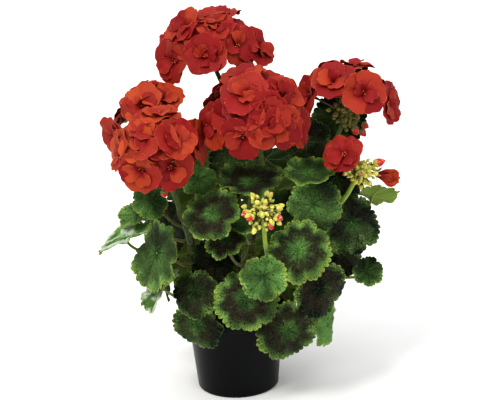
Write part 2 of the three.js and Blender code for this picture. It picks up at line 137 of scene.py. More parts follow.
def grid_faces(rows, columns, closed=False):
    across = columns if closed else columns - 1
    row, column = np.meshgrid(np.arange(rows - 1), np.arange(across), indexing="ij")
    here, beside = row * columns + column, row * columns + (column + 1) % columns
    return np.stack([here, beside, beside + columns, here + columns], axis=-1).reshape(-1, 4)


def ring_faces(rings, sides):
    """Closed rings, with a fan at each end to a point of its own. Those two points follow the rings."""
    ring = np.arange(sides)
    after = (ring + 1) % sides
    last, tip = (rings - 1) * sides, rings * sides
    start = np.stack([np.full(sides, tip), after, ring], axis=-1)
    end = np.stack([np.full(sides, tip + 1), last + ring, last + after], axis=-1)
    return [grid_faces(rings, sides, closed=True), start, end]


def rim_faces(loop, count):
    """A strip along the edge of a sheet, from its upper points to the lower ones, which come count later."""
    after = np.roll(loop, -1)
    return np.stack([after, loop, loop + count, after + count], axis=-1)


def tube(path, radii, sides):
    """The points and faces of a closed round tube along a path, with a radius for each of its points."""
    path = np.asarray(path, float)
    tangents = unit(np.gradient(path, axis=0))
    normal = np.cross(tangents[0], UP if abs(tangents[0][2]) < 0.9 else RIGHT)
    angles = np.linspace(0, TURN, sides, endpoint=False)[:, None]
    points = []
    for centre, radius, tangent in zip(path, np.broadcast_to(radii, len(path)), tangents):
        normal = unit(normal - np.dot(normal, tangent) * tangent)
        binormal = np.cross(tangent, normal)
        points.append(centre + radius * (np.cos(angles) * normal + np.sin(angles) * binormal))
    return np.concatenate(points + [path[:1], path[-1:]]), ring_faces(len(path), sides)


def tapered(stalk):
    """A radius for each step of a stalk, between those that it names."""
    return np.interp(np.linspace(0, 1, stalk.steps), stalk.shares, stalk.radii)


def tube_shares(shares, sides):
    """The share of its length at which each point of a tube lies, from those of its rings."""
    return np.concatenate([np.repeat(shares, sides), [0, 1]])[:, None]


class Piece:
    """Gathers shapes, with their surface coordinates and looks, into one object.

    Each point has two pairs of numbers that its material reads: where it lies, across and along its petal,
    leaf or stalk, and two shades of its own."""

    def __init__(self, name, *materials):
        self.name = name
        self.materials = materials
        self.points, self.faces, self.slots, self.where, self.shades = [], [], [], [], []
        self.count = 0

    def add(self, points, faces, where=0, shades=0.5, material=None):
        self.add_faces(faces, self.count, material)
        self.points.append(points)
        self.where.append(np.broadcast_to(where, (len(points), 2)))
        self.shades.append(np.broadcast_to(shades, (len(points), 2)))
        self.count += len(points)

    def add_faces(self, faces, start, material):
        """Groups of faces, whose points are counted from start, in a material or else the piece's first."""
        for group in faces:
            self.faces.append(group + start)
            self.slots.append(np.full(len(group), self.materials.index(material or self.materials[0])))

    def add_tube(self, path, radii, sides, shades, material, low=0, high=1):
        """A tube, along which its material counts from low to high."""
        points, faces = tube(path, radii, sides)
        along = low + (high - low) * tube_shares(np.linspace(0, 1, len(path)), sides)
        self.add(points, faces, along, shades, material)

    def add_sheet(self, surface, grid, thickness, shades, material, high=1):
        """A thin closed sheet over a grid of two parameters, split alike on both faces.

        surface(a, b) gives points for arrays of both. Its material counts from 0 to high along a."""
        rows, columns = grid
        a, b = np.meshgrid(rows, columns, indexing="ij")
        middle = surface(a, b)
        normal = unit(np.cross(np.gradient(middle, axis=0), np.gradient(middle, axis=1)))
        wide = len(columns)
        first, side = np.arange(wide), np.arange(len(rows)) * wide
        loop = np.concatenate([first[:-1], side[:-1] + wide - 1, side[-1] + first[:0:-1], side[:0:-1]])
        where = np.stack([b.ravel() * 0.5 + 0.5, a.ravel() * high], axis=-1)
        middle, half = middle.reshape(-1, 3), (normal * thickness / 2).reshape(-1, 3)
        self.add_shell(middle, half, [grid_faces(len(rows), wide)], loop, where, shades, material, material)

    def add_shell(self, middle, half, upper, loop, where, shades, material, under):
        """Two faces, each half a thickness from the middle, and the rim that joins them along a loop."""
        start, count = self.count, len(middle)
        points = np.concatenate([middle + half, middle - half])
        self.add(points, upper, np.tile(where, (2, 1)), shades, material)
        self.add_faces([group[:, ::-1] + count for group in upper], start, under)
        self.add_faces([rim_faces(loop, count)], start, material)

    def build(self, slot, *nodes, sharp=60):
        """The object, which stands in for those nodes. The slot is not used."""
        mesh = bpy.data.meshes.new(self.name)
        faces = [face for group in self.faces for face in group.tolist()]
        mesh.from_pydata(np.concatenate(self.points) * MM, [], faces)
        mesh.polygons.foreach_set("material_index", np.concatenate(self.slots).astype(np.int32))
        corners = np.concatenate([group.ravel() for group in self.faces])
        for name, values in (("Where", self.where), ("Shades", self.shades)):
            layer = mesh.uv_layers.new(name=name)
            layer.data.foreach_set("uv", np.concatenate(values)[corners].astype(np.float32).ravel())
        mesh.update(calc_edges=True)
        mesh.validate()
        mesh.shade_smooth()
        mesh.set_sharp_from_angle(angle=math.radians(sharp))
        for material in self.materials:
            mesh.materials.append(material)
        piece = put_in_scene(self.name, mesh)
        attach(piece, "root")
        for node in nodes:
            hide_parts(node)
        return piece


def put_in_scene(name, data):
    thing = bpy.data.objects.new(name, data)
    bpy.context.scene.collection.objects.link(thing)
    return thing


# Materials

class Looks:
    """A material's or world's node tree, with a short call for each kind of node that it is made of."""

    def __init__(self, name, kind=bpy.data.materials, shader="Principled BSDF", **values):
        self.owner = kind.new(name)
        self.owner.use_nodes = True
        self.tree = self.owner.node_tree
        self.shader = self.tree.nodes[shader]
        self.set(**values)

    def set(self, **values):
        """Sets sockets of the shader, or links them, and gives the material or world."""
        for socket, value in values.items():
            self.feed(self.shader.inputs[socket.replace("_", " ")], value)
        return self.owner

    def feed(self, socket, value):
        if isinstance(value, bpy.types.NodeSocket):
            self.tree.links.new(value, socket)
        else:
            socket.default_value = value

    def node(self, kind, inputs=(), **settings):
        node = self.tree.nodes.new("ShaderNode" + kind)
        for key, value in settings.items():
            setattr(node, key, value)
        for key, value in dict(inputs).items():
            self.feed(node.inputs[key], value)
        return node

    def maths(self, operation, a, b=0.0, c=0.0, clamp=False):
        return self.node("Math", {0: a, 1: b, 2: c}, operation=operation, use_clamp=clamp).outputs[0]

    times = partialmethod(maths, "MULTIPLY")
    plus = partialmethod(maths, "ADD")
    minus = partialmethod(maths, "SUBTRACT")
    scaled = partialmethod(maths, "MULTIPLY_ADD")  # value, factor, start

    def step(self, value, low, high, to_low=0.0, to_high=1.0):
        """to_low below low, to_high above high, and a soft step between them."""
        inputs = {"Value": value, "From Min": low, "From Max": high, "To Min": to_low, "To Max": to_high}
        return self.node("MapRange", inputs, interpolation_type="SMOOTHSTEP").outputs["Result"]

    def mix(self, share, a, b):
        """A colour from a where the share is 0 to b where it is 1."""
        return self.node("Mix", {"Factor": share, 6: a, 7: b}, data_type="RGBA").outputs[2]

    def layers(self, colour, *coats):
        """A colour with others laid over it in turn, each by a share."""
        for share, coat in coats:
            colour = self.mix(share, colour, coat)
        return colour

    def pair(self, layer):
        """The two numbers that a point carries in a layer."""
        split = self.node("SeparateXYZ", {0: self.node("UVMap", uv_map=layer).outputs["UV"]})
        return split.outputs["X"], split.outputs["Y"]

    def texture(self, kind, inputs, **settings):
        place = self.node("TexCoord").outputs["Object"]
        return self.node("Tex" + kind, {"Vector": place, **inputs}, **settings).outputs

    def noise(self, scale, detail=3.0):
        return self.texture("Noise", {"Scale": scale, "Detail": detail})["Fac"]

    def cells(self, scale, feature="DISTANCE_TO_EDGE"):
        return self.texture("Voronoi", {"Scale": scale}, feature=feature)["Distance"]

    def finish(self, colour, rough, bumps=None):
        """The material. Its roughness is a value, factor and start, its bumps a height, size and strength."""
        self.set(Base_Color=colour, Roughness=self.scaled(*rough))
        if bumps:
            inputs = dict(zip(("Height", "Distance", "Strength"), bumps))
            self.set(Normal=self.node("Bump", inputs).outputs["Normal"])
        return self.owner


def rgb(red, green, blue):
    """A colour from its screen values, 0 to 255, for a shader."""
    shares = [value / 255 for value in (red, green, blue)]
    return tuple(((c + 0.055) / 1.055) ** 2.4 if c > 0.04 else c / 12.92 for c in shares) + (1,)


def inks(**colours):
    """Named colours, from their screen values."""
    return Values(**{name: rgb(*values) for name, values in colours.items()})


LEAF_INKS = inks(
    sheen=(200, 220, 170), shade=(5, 24, 16), lit=(104, 144, 78), margin_shade=(12, 36, 23),
    margin_lit=(158, 174, 84), zone_dark=(8, 7, 8), zone_pale=(66, 53, 43), pits=(8, 16, 9),
    hairs=(176, 190, 138), inner_veins=(8, 28, 16), outer_veins=(96, 124, 60), edge=(164, 178, 92),
    glare=(204, 214, 196),
)
UNDER_INKS = inks(shade=(26, 46, 22), lit=(146, 166, 66), patches=(104, 134, 78), veins=(164, 186, 112))
STALK_INKS = {
    "petiole": inks(foot=(104, 116, 52), top=(140, 164, 70), spots=(120, 78, 48)),
    "flower_stalk": inks(foot=(112, 140, 52), top=(150, 172, 66), spots=(84, 60, 38)),
    "pedicel": inks(foot=(96, 104, 44), top=(92, 50, 34), spots=(110, 36, 30)),
}
AGED_STALK = rgb(52, 62, 32)
BARK_INKS = inks(
    young_dark=(70, 74, 36), young_pale=(112, 122, 62), old_dark=(58, 44, 30), old_pale=(110, 88, 62),
)
# sunlit is a painted sunlit orange, rim a painted highlight along the edge, and eye a darker red that is
# partly painted shade in the throat
PETAL_INKS = inks(
    sheen=(255, 150, 110), deep=(126, 28, 31), bright=(144, 37, 38), sunlit=(176, 82, 46),
    veins=(122, 16, 20), eye=(98, 18, 20), rim=(206, 100, 70),
)
BUD_INKS = inks(dull=(58, 62, 30), bright=(206, 202, 82), red=(178, 36, 30), hairs=(240, 234, 190))
STAMEN_INKS = inks(foot=(220, 96, 66), top=(250, 190, 130))
POT_INKS = inks(black=(5, 8, 9), dust=(20, 23, 25))
SOIL_INKS = inks(dark=(30, 20, 14), pale=(84, 62, 44), grit=(140, 120, 96))
FLOOR_INK = rgb(236, 236, 236)

# Where a leaf's veins run, as shares of its radius: the main vein along the middle of each lobe, and
# the forks that leave it on both sides
VEIN = Values(foot_width=0.022, end_width=0.008, fork_width=0.009)
FORKS = [(0.36, 0.42), (0.6, 0.85)]  # where each leaves the main vein, and its slope
LOBE_WIDTH = 0.72  # of one lobe at the edge, as a share of the radius

# The horseshoe zone of a leaf, between an inner and an outer border, and its paler margin
ZONE = Values(inner=(0.12, 0.5), outer=(0.62, 0.92), margin=(0.78, 1.12), wander=0.5, lobed=0.035)


def vein_mask(looks, turn, reach):
    """1 on a vein and 0 beside it."""
    off = looks.maths("ABSOLUTE", looks.minus(looks.maths("FRACT", turn), 0.5))
    away = looks.times(looks.times(off, reach), LOBE_WIDTH)
    width = looks.step(reach, 0, 1, VEIN.foot_width, VEIN.end_width)
    veins = looks.minus(1.0, looks.maths("DIVIDE", away, width), clamp=True)
    for start, slope in FORKS:
        line = looks.times(looks.minus(reach, start), slope)
        gap = looks.maths("ABSOLUTE", looks.minus(off, line))
        near = looks.times(looks.times(gap, reach), LOBE_WIDTH / VEIN.fork_width)
        branch = looks.minus(1.0, near, clamp=True)
        started = looks.maths("GREATER_THAN", reach, start)
        veins = looks.maths("MAXIMUM", veins, looks.times(branch, started))
    return veins


def leaf_upper_material():
    """Green, painted lit and shaded leaf by leaf and in large patches, with a dark horseshoe zone, a lighter
    margin, pale veins that are painted dark with crease shade near the middle, a fine speckle of dark pits
    and of pale hairs with painted glints, and patches of painted glare.
    """
    ink = LEAF_INKS
    looks = Looks("leaf_upper", Sheen_Weight=0.03, Sheen_Roughness=0.4, Specular_IOR_Level=0.14)
    looks.set(Sheen_Tint=ink.sheen)
    turn, reach = looks.pair("Where")
    tone, zoned = looks.pair("Shades")
    patches, clouds, speckle = looks.noise(90, 5), looks.noise(34, 2), looks.noise(620, 3)
    wander = looks.scaled(patches, ZONE.wander, -ZONE.wander / 2)
    lobed = looks.times(looks.maths("COSINE", looks.times(turn, TURN)), ZONE.lobed)
    placed = looks.plus(looks.plus(reach, wander), lobed)
    banded = looks.times(looks.step(placed, *ZONE.inner), looks.step(placed, *ZONE.outer, 1.0, 0.0))
    zone = looks.times(banded, zoned, clamp=True)
    # Painted light and shade: each leaf's painted brightness, raised and lowered in large lit and shaded
    # patches
    lit = looks.plus(tone, looks.step(clouds, 0.3, 0.7, -0.36, 0.4), clamp=True)
    fresh = looks.mix(lit, ink.shade, ink.lit)
    margin = looks.mix(lit, ink.margin_shade, ink.margin_lit)
    # Pale hairs with painted glints on them, most towards the edge and where the leaf is painted lit
    hairs_and_glints = looks.step(looks.scaled(reach, 0.5, clouds), 0.85, 1.2, 0.08, 0.7)
    veins = vein_mask(looks, turn, reach)
    edge = looks.times(looks.step(reach, 0.95, 0.995), looks.step(patches, 0.42, 0.66, 0.0, 0.6))
    # Painted glare: whitish patches on the leaves whose zone value is below zero
    glare = looks.times(looks.step(zoned, 0.0, -1.0), looks.step(looks.noise(70, 3), 0.42, 0.56))
    mesh = looks.step(looks.cells(420), 0.0, 0.16, 0.0, 0.5)
    colour = looks.layers(
        looks.mix(looks.step(placed, *ZONE.margin), fresh, margin),
        (zone, looks.mix(patches, ink.zone_dark, ink.zone_pale)),
        (looks.step(speckle, 0.48, 0.3, 0.0, 0.8), ink.pits),
        (looks.times(looks.step(speckle, 0.5, 0.7), hairs_and_glints), ink.hairs),
        # Veins: painted crease shade along them near the middle of the leaf, pale further out
        (looks.times(veins, looks.scaled(zone, -0.45, 0.5)),
         looks.mix(looks.step(reach, 0.25, 0.6), ink.inner_veins, ink.outer_veins)),
        (edge, ink.edge),
        (glare, ink.glare),
    )
    return looks.finish(colour, (patches, 0.3, 0.4), (looks.minus(mesh, veins), 0.0005, 0.8))


def leaf_under_material():
    """Paler than the upper face, painted lit and shaded leaf by leaf, with veins that stand out."""
    looks = Looks("leaf_under", Sheen_Weight=0.05, Specular_IOR_Level=0.2)
    turn, reach = looks.pair("Where")
    tone, _ = looks.pair("Shades")
    patches = looks.noise(110, 3)
    veins = vein_mask(looks, turn, reach)
    mesh = looks.step(looks.cells(420), 0.0, 0.14, 0.4, 0.0)
    colour = looks.layers(
        # Painted light and shade: each leaf as brightly lit as its upper face
        looks.mix(tone, UNDER_INKS.shade, UNDER_INKS.lit),
        (looks.times(patches, 0.5), UNDER_INKS.patches),
        (looks.times(veins, 0.75), UNDER_INKS.veins),
    )
    return looks.finish(colour, (patches, 0.2, 0.6), (looks.plus(mesh, veins), 0.0006, 0.9))


def stalk_material(name):
    """A stalk: from one colour at its foot to another at its top, with streaks and short hairs."""
    ink = STALK_INKS[name]
    looks = Looks(name, Sheen_Weight=0.35, Specular_IOR_Level=0.35)
    _, along = looks.pair("Where")
    aged, spotted = looks.pair("Shades")
    streaks = looks.step(looks.noise(160, 4), 0.42, 0.66)
    spots = looks.times(streaks, looks.scaled(spotted, 0.6, 0.25))
    hairs = looks.noise(1500, 2)
    young = looks.mix(along, ink.foot, ink.top)
    colour = looks.layers(young, (spots, ink.spots), (looks.times(aged, 0.8), AGED_STALK))
    return looks.finish(colour, (hairs, 0.3, 0.5), (hairs, 0.0003, 0.7))


def bark_material():
    """Green-brown bark, rough with scars, and woodier towards the foot."""
    looks = Looks("bark", Specular_IOR_Level=0.3)
    _, along = looks.pair("Where")
    scars = looks.noise(140, 6)
    young = looks.mix(scars, BARK_INKS.young_dark, BARK_INKS.young_pale)
    old = looks.mix(scars, BARK_INKS.old_dark, BARK_INKS.old_pale)
    colour = looks.mix(along, old, young)
    return looks.finish(colour, (scars, 0.25, 0.65), (looks.plus(scars, looks.noise(700, 3)), 0.0008, 0.8))


def petal_material():
    """Scarlet, darker along fine veins and round the eye, where the darkening is partly painted shade in the
    throat, with painted sunlit orange where the petal is thin and a painted highlight along its rim.
    """
    ink = PETAL_INKS
    looks = Looks("petal", Sheen_Weight=0.05, Sheen_Roughness=0.5, Specular_IOR_Level=0.2)
    looks.set(Sheen_Tint=ink.sheen)
    across, reach = looks.pair("Where")
    tone, sunny = looks.pair("Shades")
    mottle = looks.noise(130, 4)
    # Painted sunlit orange towards the petal's end
    light = looks.times(sunny, looks.step(looks.plus(reach, mottle), 0.7, 1.25))
    ribs = looks.maths("ABSOLUTE", looks.maths("SINE", looks.times(across, 34.0)))
    veins = looks.times(looks.step(ribs, 0.0, 0.35, 0.3, 0.0), looks.step(reach, 0.35, 0.95, 1.0, 0.15))
    # Darker round the eye: partly the petal's own deeper red, partly painted shade in the throat
    eye = looks.step(looks.scaled(mottle, 0.08, reach), 0.08, 0.26, 0.75, 0.0)
    # A painted highlight along the petal's edge
    rim = looks.times(looks.step(reach, 0.94, 0.99), looks.step(looks.noise(300, 2), 0.44, 0.66, 0.0, 0.5))
    velvet = looks.plus(looks.noise(900, 3), looks.times(ribs, 0.7))
    red = looks.mix(tone, ink.deep, ink.bright)
    colour = looks.layers(red, (light, ink.sunlit), (veins, ink.veins), (eye, ink.eye), (rim, ink.rim))
    return looks.finish(colour, (mottle, 0.25, 0.42), (velvet, 0.0003, 0.6))


def bud_material():
    """Yellow-green sepals that turn to the red of the petal at the tip of a ripe bud."""
    looks = Looks("bud", Sheen_Weight=0.4, Specular_IOR_Level=0.35)
    _, along = looks.pair("Where")
    tone, ripe = looks.pair("Shades")
    mottle = looks.noise(420, 3)
    opened = looks.minus(looks.scaled(mottle, 0.1, along), looks.scaled(ripe, -0.75, 1.1))
    # Pale hairs, partly painted highlights, most on the brightest buds
    hairs = looks.times(looks.step(mottle, 0.48, 0.7, 0.0, 0.6), tone)
    sepals = looks.mix(tone, BUD_INKS.dull, BUD_INKS.bright)
    colour = looks.layers(sepals, (looks.step(opened, 0.0, 0.12), BUD_INKS.red), (hairs, BUD_INKS.hairs))
    return looks.finish(colour, (mottle, 0.2, 0.5), (mottle, 0.0003, 0.8))


def stamen_material():
    looks = Looks("stamen")
    _, along = looks.pair("Where")
    return looks.finish(looks.mix(along, STAMEN_INKS.foot, STAMEN_INKS.top), (looks.noise(900), 0.2, 0.5))


def pot_material():
    """Black injection-moulded plastic: satin, faintly grained, with clouds of dust."""
    looks = Looks("pot_plastic", Specular_IOR_Level=0.25)
    clouds = looks.noise(26, 3)
    dust = looks.times(looks.step(clouds, 0.45, 0.75), 0.25)
    colour = looks.mix(dust, POT_INKS.black, POT_INKS.dust)
    return looks.finish(colour, (clouds, 0.2, 0.24), (looks.noise(700, 4), 0.0002, 0.5))


def soil_material():
    """Moist peat with paler bark and grit."""
    looks = Looks("soil", Specular_IOR_Level=0.25)
    crumbs = looks.noise(320, 6)
    grit = looks.step(looks.cells(260, "F1"), 0.0, 0.22, 1.0, 0.0)
    peat = looks.mix(crumbs, SOIL_INKS.dark, SOIL_INKS.pale)
    colour = looks.mix(looks.times(grit, 0.5), peat, SOIL_INKS.grit)
    return looks.finish(colour, (crumbs, 0.2, 0.8), (crumbs, 0.002, 0.9))


LEAF_UPPER = leaf_upper_material()
LEAF_UNDER = leaf_under_material()
PETIOLE_SKIN, PEDUNCLE_SKIN, PEDICEL_SKIN = (stalk_material(name) for name in STALK_INKS)
BARK = bark_material()
PETAL = petal_material()
BUD_SKIN = bud_material()
STAMEN_SKIN = stamen_material()
PLASTIC = pot_material()
PEAT = soil_material()


# Pot: the same profile as the model's, with rounded edges and a true round

POT = Values(
    height=88, base_radius=43.5, neck_radius=50.8, lip_radius=55, lip_height=10,
    lip_wall=3, lip_slope=0.6, wall=1.4, floor=2.2, foot_bevel=1.5, edge=1.2,
    ring=(27, 15, 1.4), drains=6, drain_radius=4, drill_reach=8, sides=128,
)


def lathe(profile, sides):
    """A solid of revolution. The profile starts and ends on the axis."""
    angles = np.linspace(0, TURN, sides, endpoint=False)
    rings = np.array(profile[1:-1], float)
    points = np.stack([
        np.outer(rings[:, 0], np.cos(angles)),
        np.outer(rings[:, 0], np.sin(angles)),
        np.repeat(rings[:, 1:], sides, axis=1),
    ], axis=-1).reshape(-1, 3)
    ends = [UP * profile[0][1], UP * profile[-1][1]]
    return np.concatenate([points, ends]), ring_faces(len(rings), sides)


def rounded(corners, radius, steps=4):
    """A profile whose inner corners are rounded off by a Bezier curve of that radius at most."""
    corners = [np.array(c, float) for c in corners]
    result = [corners[0]]
    for before, corner, following in zip(corners, corners[1:], corners[2:]):
        back, on = before - corner, following - corner
        reach = min(radius, np.linalg.norm(back) * 0.45, np.linalg.norm(on) * 0.45)
        start, end = corner + unit(back) * reach, corner + unit(on) * reach
        for t in np.linspace(0, 1, steps):
            result.append((1 - t) ** 2 * start + 2 * t * (1 - t) * corner + t ** 2 * end)
    return result + [corners[-1]]


def make_pot():
    ring, width, depth = POT.ring
    base, neck, lip, wall = POT.base_radius, POT.neck_radius, POT.lip_radius, POT.wall
    lip_foot, lip_top, bevel = POT.height - POT.lip_height, POT.height, POT.foot_bevel
    inner_floor = depth + POT.floor
    profile = rounded([
        (0, 0), (ring - width / 2 - depth, 0), (ring - width / 2, depth), (ring + width / 2, depth),
        (ring + width / 2 + depth, 0), (base - bevel, 0), (base, bevel), (neck, lip_foot - 1),
        (lip - POT.lip_slope, lip_foot), (lip, lip_foot + 1), (lip, lip_top), (lip - POT.lip_wall, lip_top),
        (neck - wall, lip_foot - 2), (base - wall, inner_floor), (0, inner_floor),
    ], POT.edge)
    pot = Piece("nursery_pot", PLASTIC)
    pot.add(*lathe(profile, POT.sides))
    pot = pot.build("pot", "pot", sharp=35)
    drills = Piece("drain_drills", PLASTIC)
    for i in range(POT.drains):
        centre = ring * heading(360 * i / POT.drains, 0)
        reach = UP * POT.drill_reach
        drills.add(*tube([centre - reach, centre + reach], POT.drain_radius, 24))
    cutter = drills.build("pot")
    cut = pot.modifiers.new("drains", "BOOLEAN")
    cut.object = cutter
    cut.solver = "EXACT"
    with bpy.context.temp_override(object=pot, active_object=pot):
        bpy.ops.object.modifier_apply(modifier=cut.name)
    bpy.data.objects.remove(cutter)


# Soil: a lumpy surface with loose crumbs on it, round the trunk

SOIL = Values(
    top=76, mound=3, mound_radius=49, lumps=1.2, lump_length=(30, 24), grains=0.7,
    above_floor=0.3, clearance=0.8, rings=26, sides=96,
)
CRUMBS = Values(
    count=360, from_trunk=8, reach=39, size=(0.5, 1.6), sides=6,
    shares=np.array([-1, -0.4, 0.5, 1]), radii=np.array([0.35, 0.8, 0.7, 0.3]),
)


def soil_height(x, y):
    mound = SOIL.mound * (1 - (np.hypot(x, y) / SOIL.mound_radius) ** 2)
    lengths = SOIL.lump_length
    lumps = SOIL.lumps * np.sin(TURN * x / lengths[0] + 1) * np.cos(TURN * y / lengths[1])
    grains = np.sin(x * 0.9 + 2 * np.sin(y * 0.5)) * np.cos(y * 1.1 + 1.7 * np.sin(x * 0.6))
    return SOIL.top + mound + lumps + SOIL.grains * grains


def make_soil():
    soil = Piece("potting_soil", PEAT)
    floor = POT.ring[2] + POT.floor + SOIL.above_floor
    taper = (POT.neck_radius - POT.base_radius) / (POT.height - POT.lip_height)
    wall = POT.base_radius - POT.wall - SOIL.clearance
    rim = wall + taper * SOIL.top
    profile = [(0, floor), (wall, floor)]
    profile += [(rim * (1 - i / SOIL.rings), SOIL.top) for i in range(SOIL.rings)]
    profile.append((0, SOIL.top))
    points, faces = lathe(profile, SOIL.sides)
    top = points[:, 2] > floor + 1
    points[top, 2] = soil_height(points[top, 0], points[top, 1])
    soil.add(points, faces)
    for i in range(CRUMBS.count):
        away = CRUMBS.from_trunk + CRUMBS.reach * math.sqrt(draw(i + 11))
        x, y, _ = away * heading(360 * draw(i + 501), 0)
        size = between(*CRUMBS.size, i + 901)
        centre = np.array([x, y, soil_height(x, y) + size * 0.3])
        axis = heading(360 * draw(i + 77), 50 * draw(i + 88))
        path = centre + axis * size * CRUMBS.shares[:, None]
        soil.add(*tube(path, size * CRUMBS.radii, CRUMBS.sides))
    soil.build("soil", "soil", sharp=50)


# Stem: the trunk and its branches, with the rings and stipules where petioles leave

TRUNK = Values(foot=58, fork=96, foot_radius=6.5, fork_radius=5.5, top=92, sway=0.3, knots=0.25)
BRANCHES = {
    "centre": ([(0, 0, 88), (3, 2, 120), (6, 4, 165), (8, 4, 212)], (4.6, 4.2, 3.8, 3.4)),
    "front": ([(0, 0, 86), (9, -20, 112), (18, -38, 146), (22, -48, 178)], (4.4, 4, 3.6, 3.2)),
    "left": ([(0, 0, 84), (-22, -8, 112), (-40, -15, 152), (-46, -18, 196)], (4.6, 4.2, 3.8, 3.2)),
    "right": ([(0, 0, 85), (26, -4, 114), (50, -8, 154), (62, -6, 200)], (4.6, 4.2, 3.8, 3.2)),
    "back": ([(0, 0, 86), (0, 22, 114), (-4, 38, 154), (-6, 42, 198)], (4.4, 4, 3.6, 3.2)),
}
BRANCH_CURVES = {name: Curve(points) for name, (points, _) in BRANCHES.items()}
BARK_CLEARANCE = 0.5
NODE_RING = Values(swell=0.7, width=0.02)
STIPULE = Values(length=(4, 6.5), width=0.32, arch=0.25, thickness=0.3, sunk=0.8, beside=1.5)
STIPULE_GRID = (np.linspace(0, 1, 5), np.linspace(-1, 1, 5))


def stand_on(branch, height, place):
    """Where a petiole or flower stalk stands on the side of a branch, towards a place, and the way out."""
    curve, radii = BRANCH_CURVES[branch], BRANCHES[branch][1]
    centre, tangent = curve.at(height), curve.tangent(height)
    outward = place - centre
    outward = unit(outward - np.dot(outward, tangent) * tangent)
    clear = radii[0] + (radii[-1] - radii[0]) * height + BARK_CLEARANCE
    return centre + outward * clear, outward


def stipule(piece, base, outward, across, length, seed):
    """A small pointed scale where a petiole leaves the branch."""
    spine = (outward * 0.5 + across) * length
    lean = unit(np.cross(outward, across))

    def surface(a, b):
        width = length * STIPULE.width * (1 - a) ** 0.7 + 0.1
        arch = length * STIPULE.arch * np.sin(a * 3)
        return base + laid_out((spine, a), (outward, arch), (lean, width * b))

    piece.add_sheet(surface, STIPULE_GRID, STIPULE.thickness, (draw(seed), 0.5), PETIOLE_SKIN)


def make_stem():
    stem = Piece("stem_and_branches", BARK, PETIOLE_SKIN)
    heights = np.linspace(TRUNK.foot, TRUNK.top, 16)
    radii = np.interp(heights, [TRUNK.foot, TRUNK.fork], [TRUNK.foot_radius, TRUNK.fork_radius])
    radii += TRUNK.knots * np.sin(heights * 0.7)
    sway = TRUNK.sway
    path = np.stack([sway * np.sin(heights * 0.3), sway * np.cos(heights * 0.25), heights], axis=-1)
    stem.add_tube(path, radii, 24, 0.5, BARK, high=0.2)
    for name, (_, radii) in BRANCHES.items():
        shares = np.linspace(0, 1, 60)
        thick = np.interp(shares, [0, 1 / 3, 2 / 3, 1], radii)
        for branch, height, *_ in LEAVES:
            if branch == name:
                thick += NODE_RING.swell * np.exp(-((shares - height) / NODE_RING.width) ** 2)
        thick[-3:] *= (0.95, 0.75, 0.3)
        stem.add_tube(BRANCH_CURVES[name].at(shares), thick, 18, 0.5, BARK, low=0.2)
    for i, (branch, height, joint, *_) in enumerate(LEAVES):
        foot, outward = stand_on(branch, height, joint)
        tangent = BRANCH_CURVES[branch].tangent(height)
        across = unit(np.cross(outward, tangent))
        for sign in (-1, 1):
            base = foot - outward * STIPULE.sunk + across * sign * STIPULE.beside
            way = unit(across * sign + tangent * 0.4)
            stipule(stem, base, outward, way, between(*STIPULE.length, i + sign), i)
    stem.build("stem", "stem")


# Leaves: rows as in the model: branch, height on it, joint, radius, facing, cup, fold

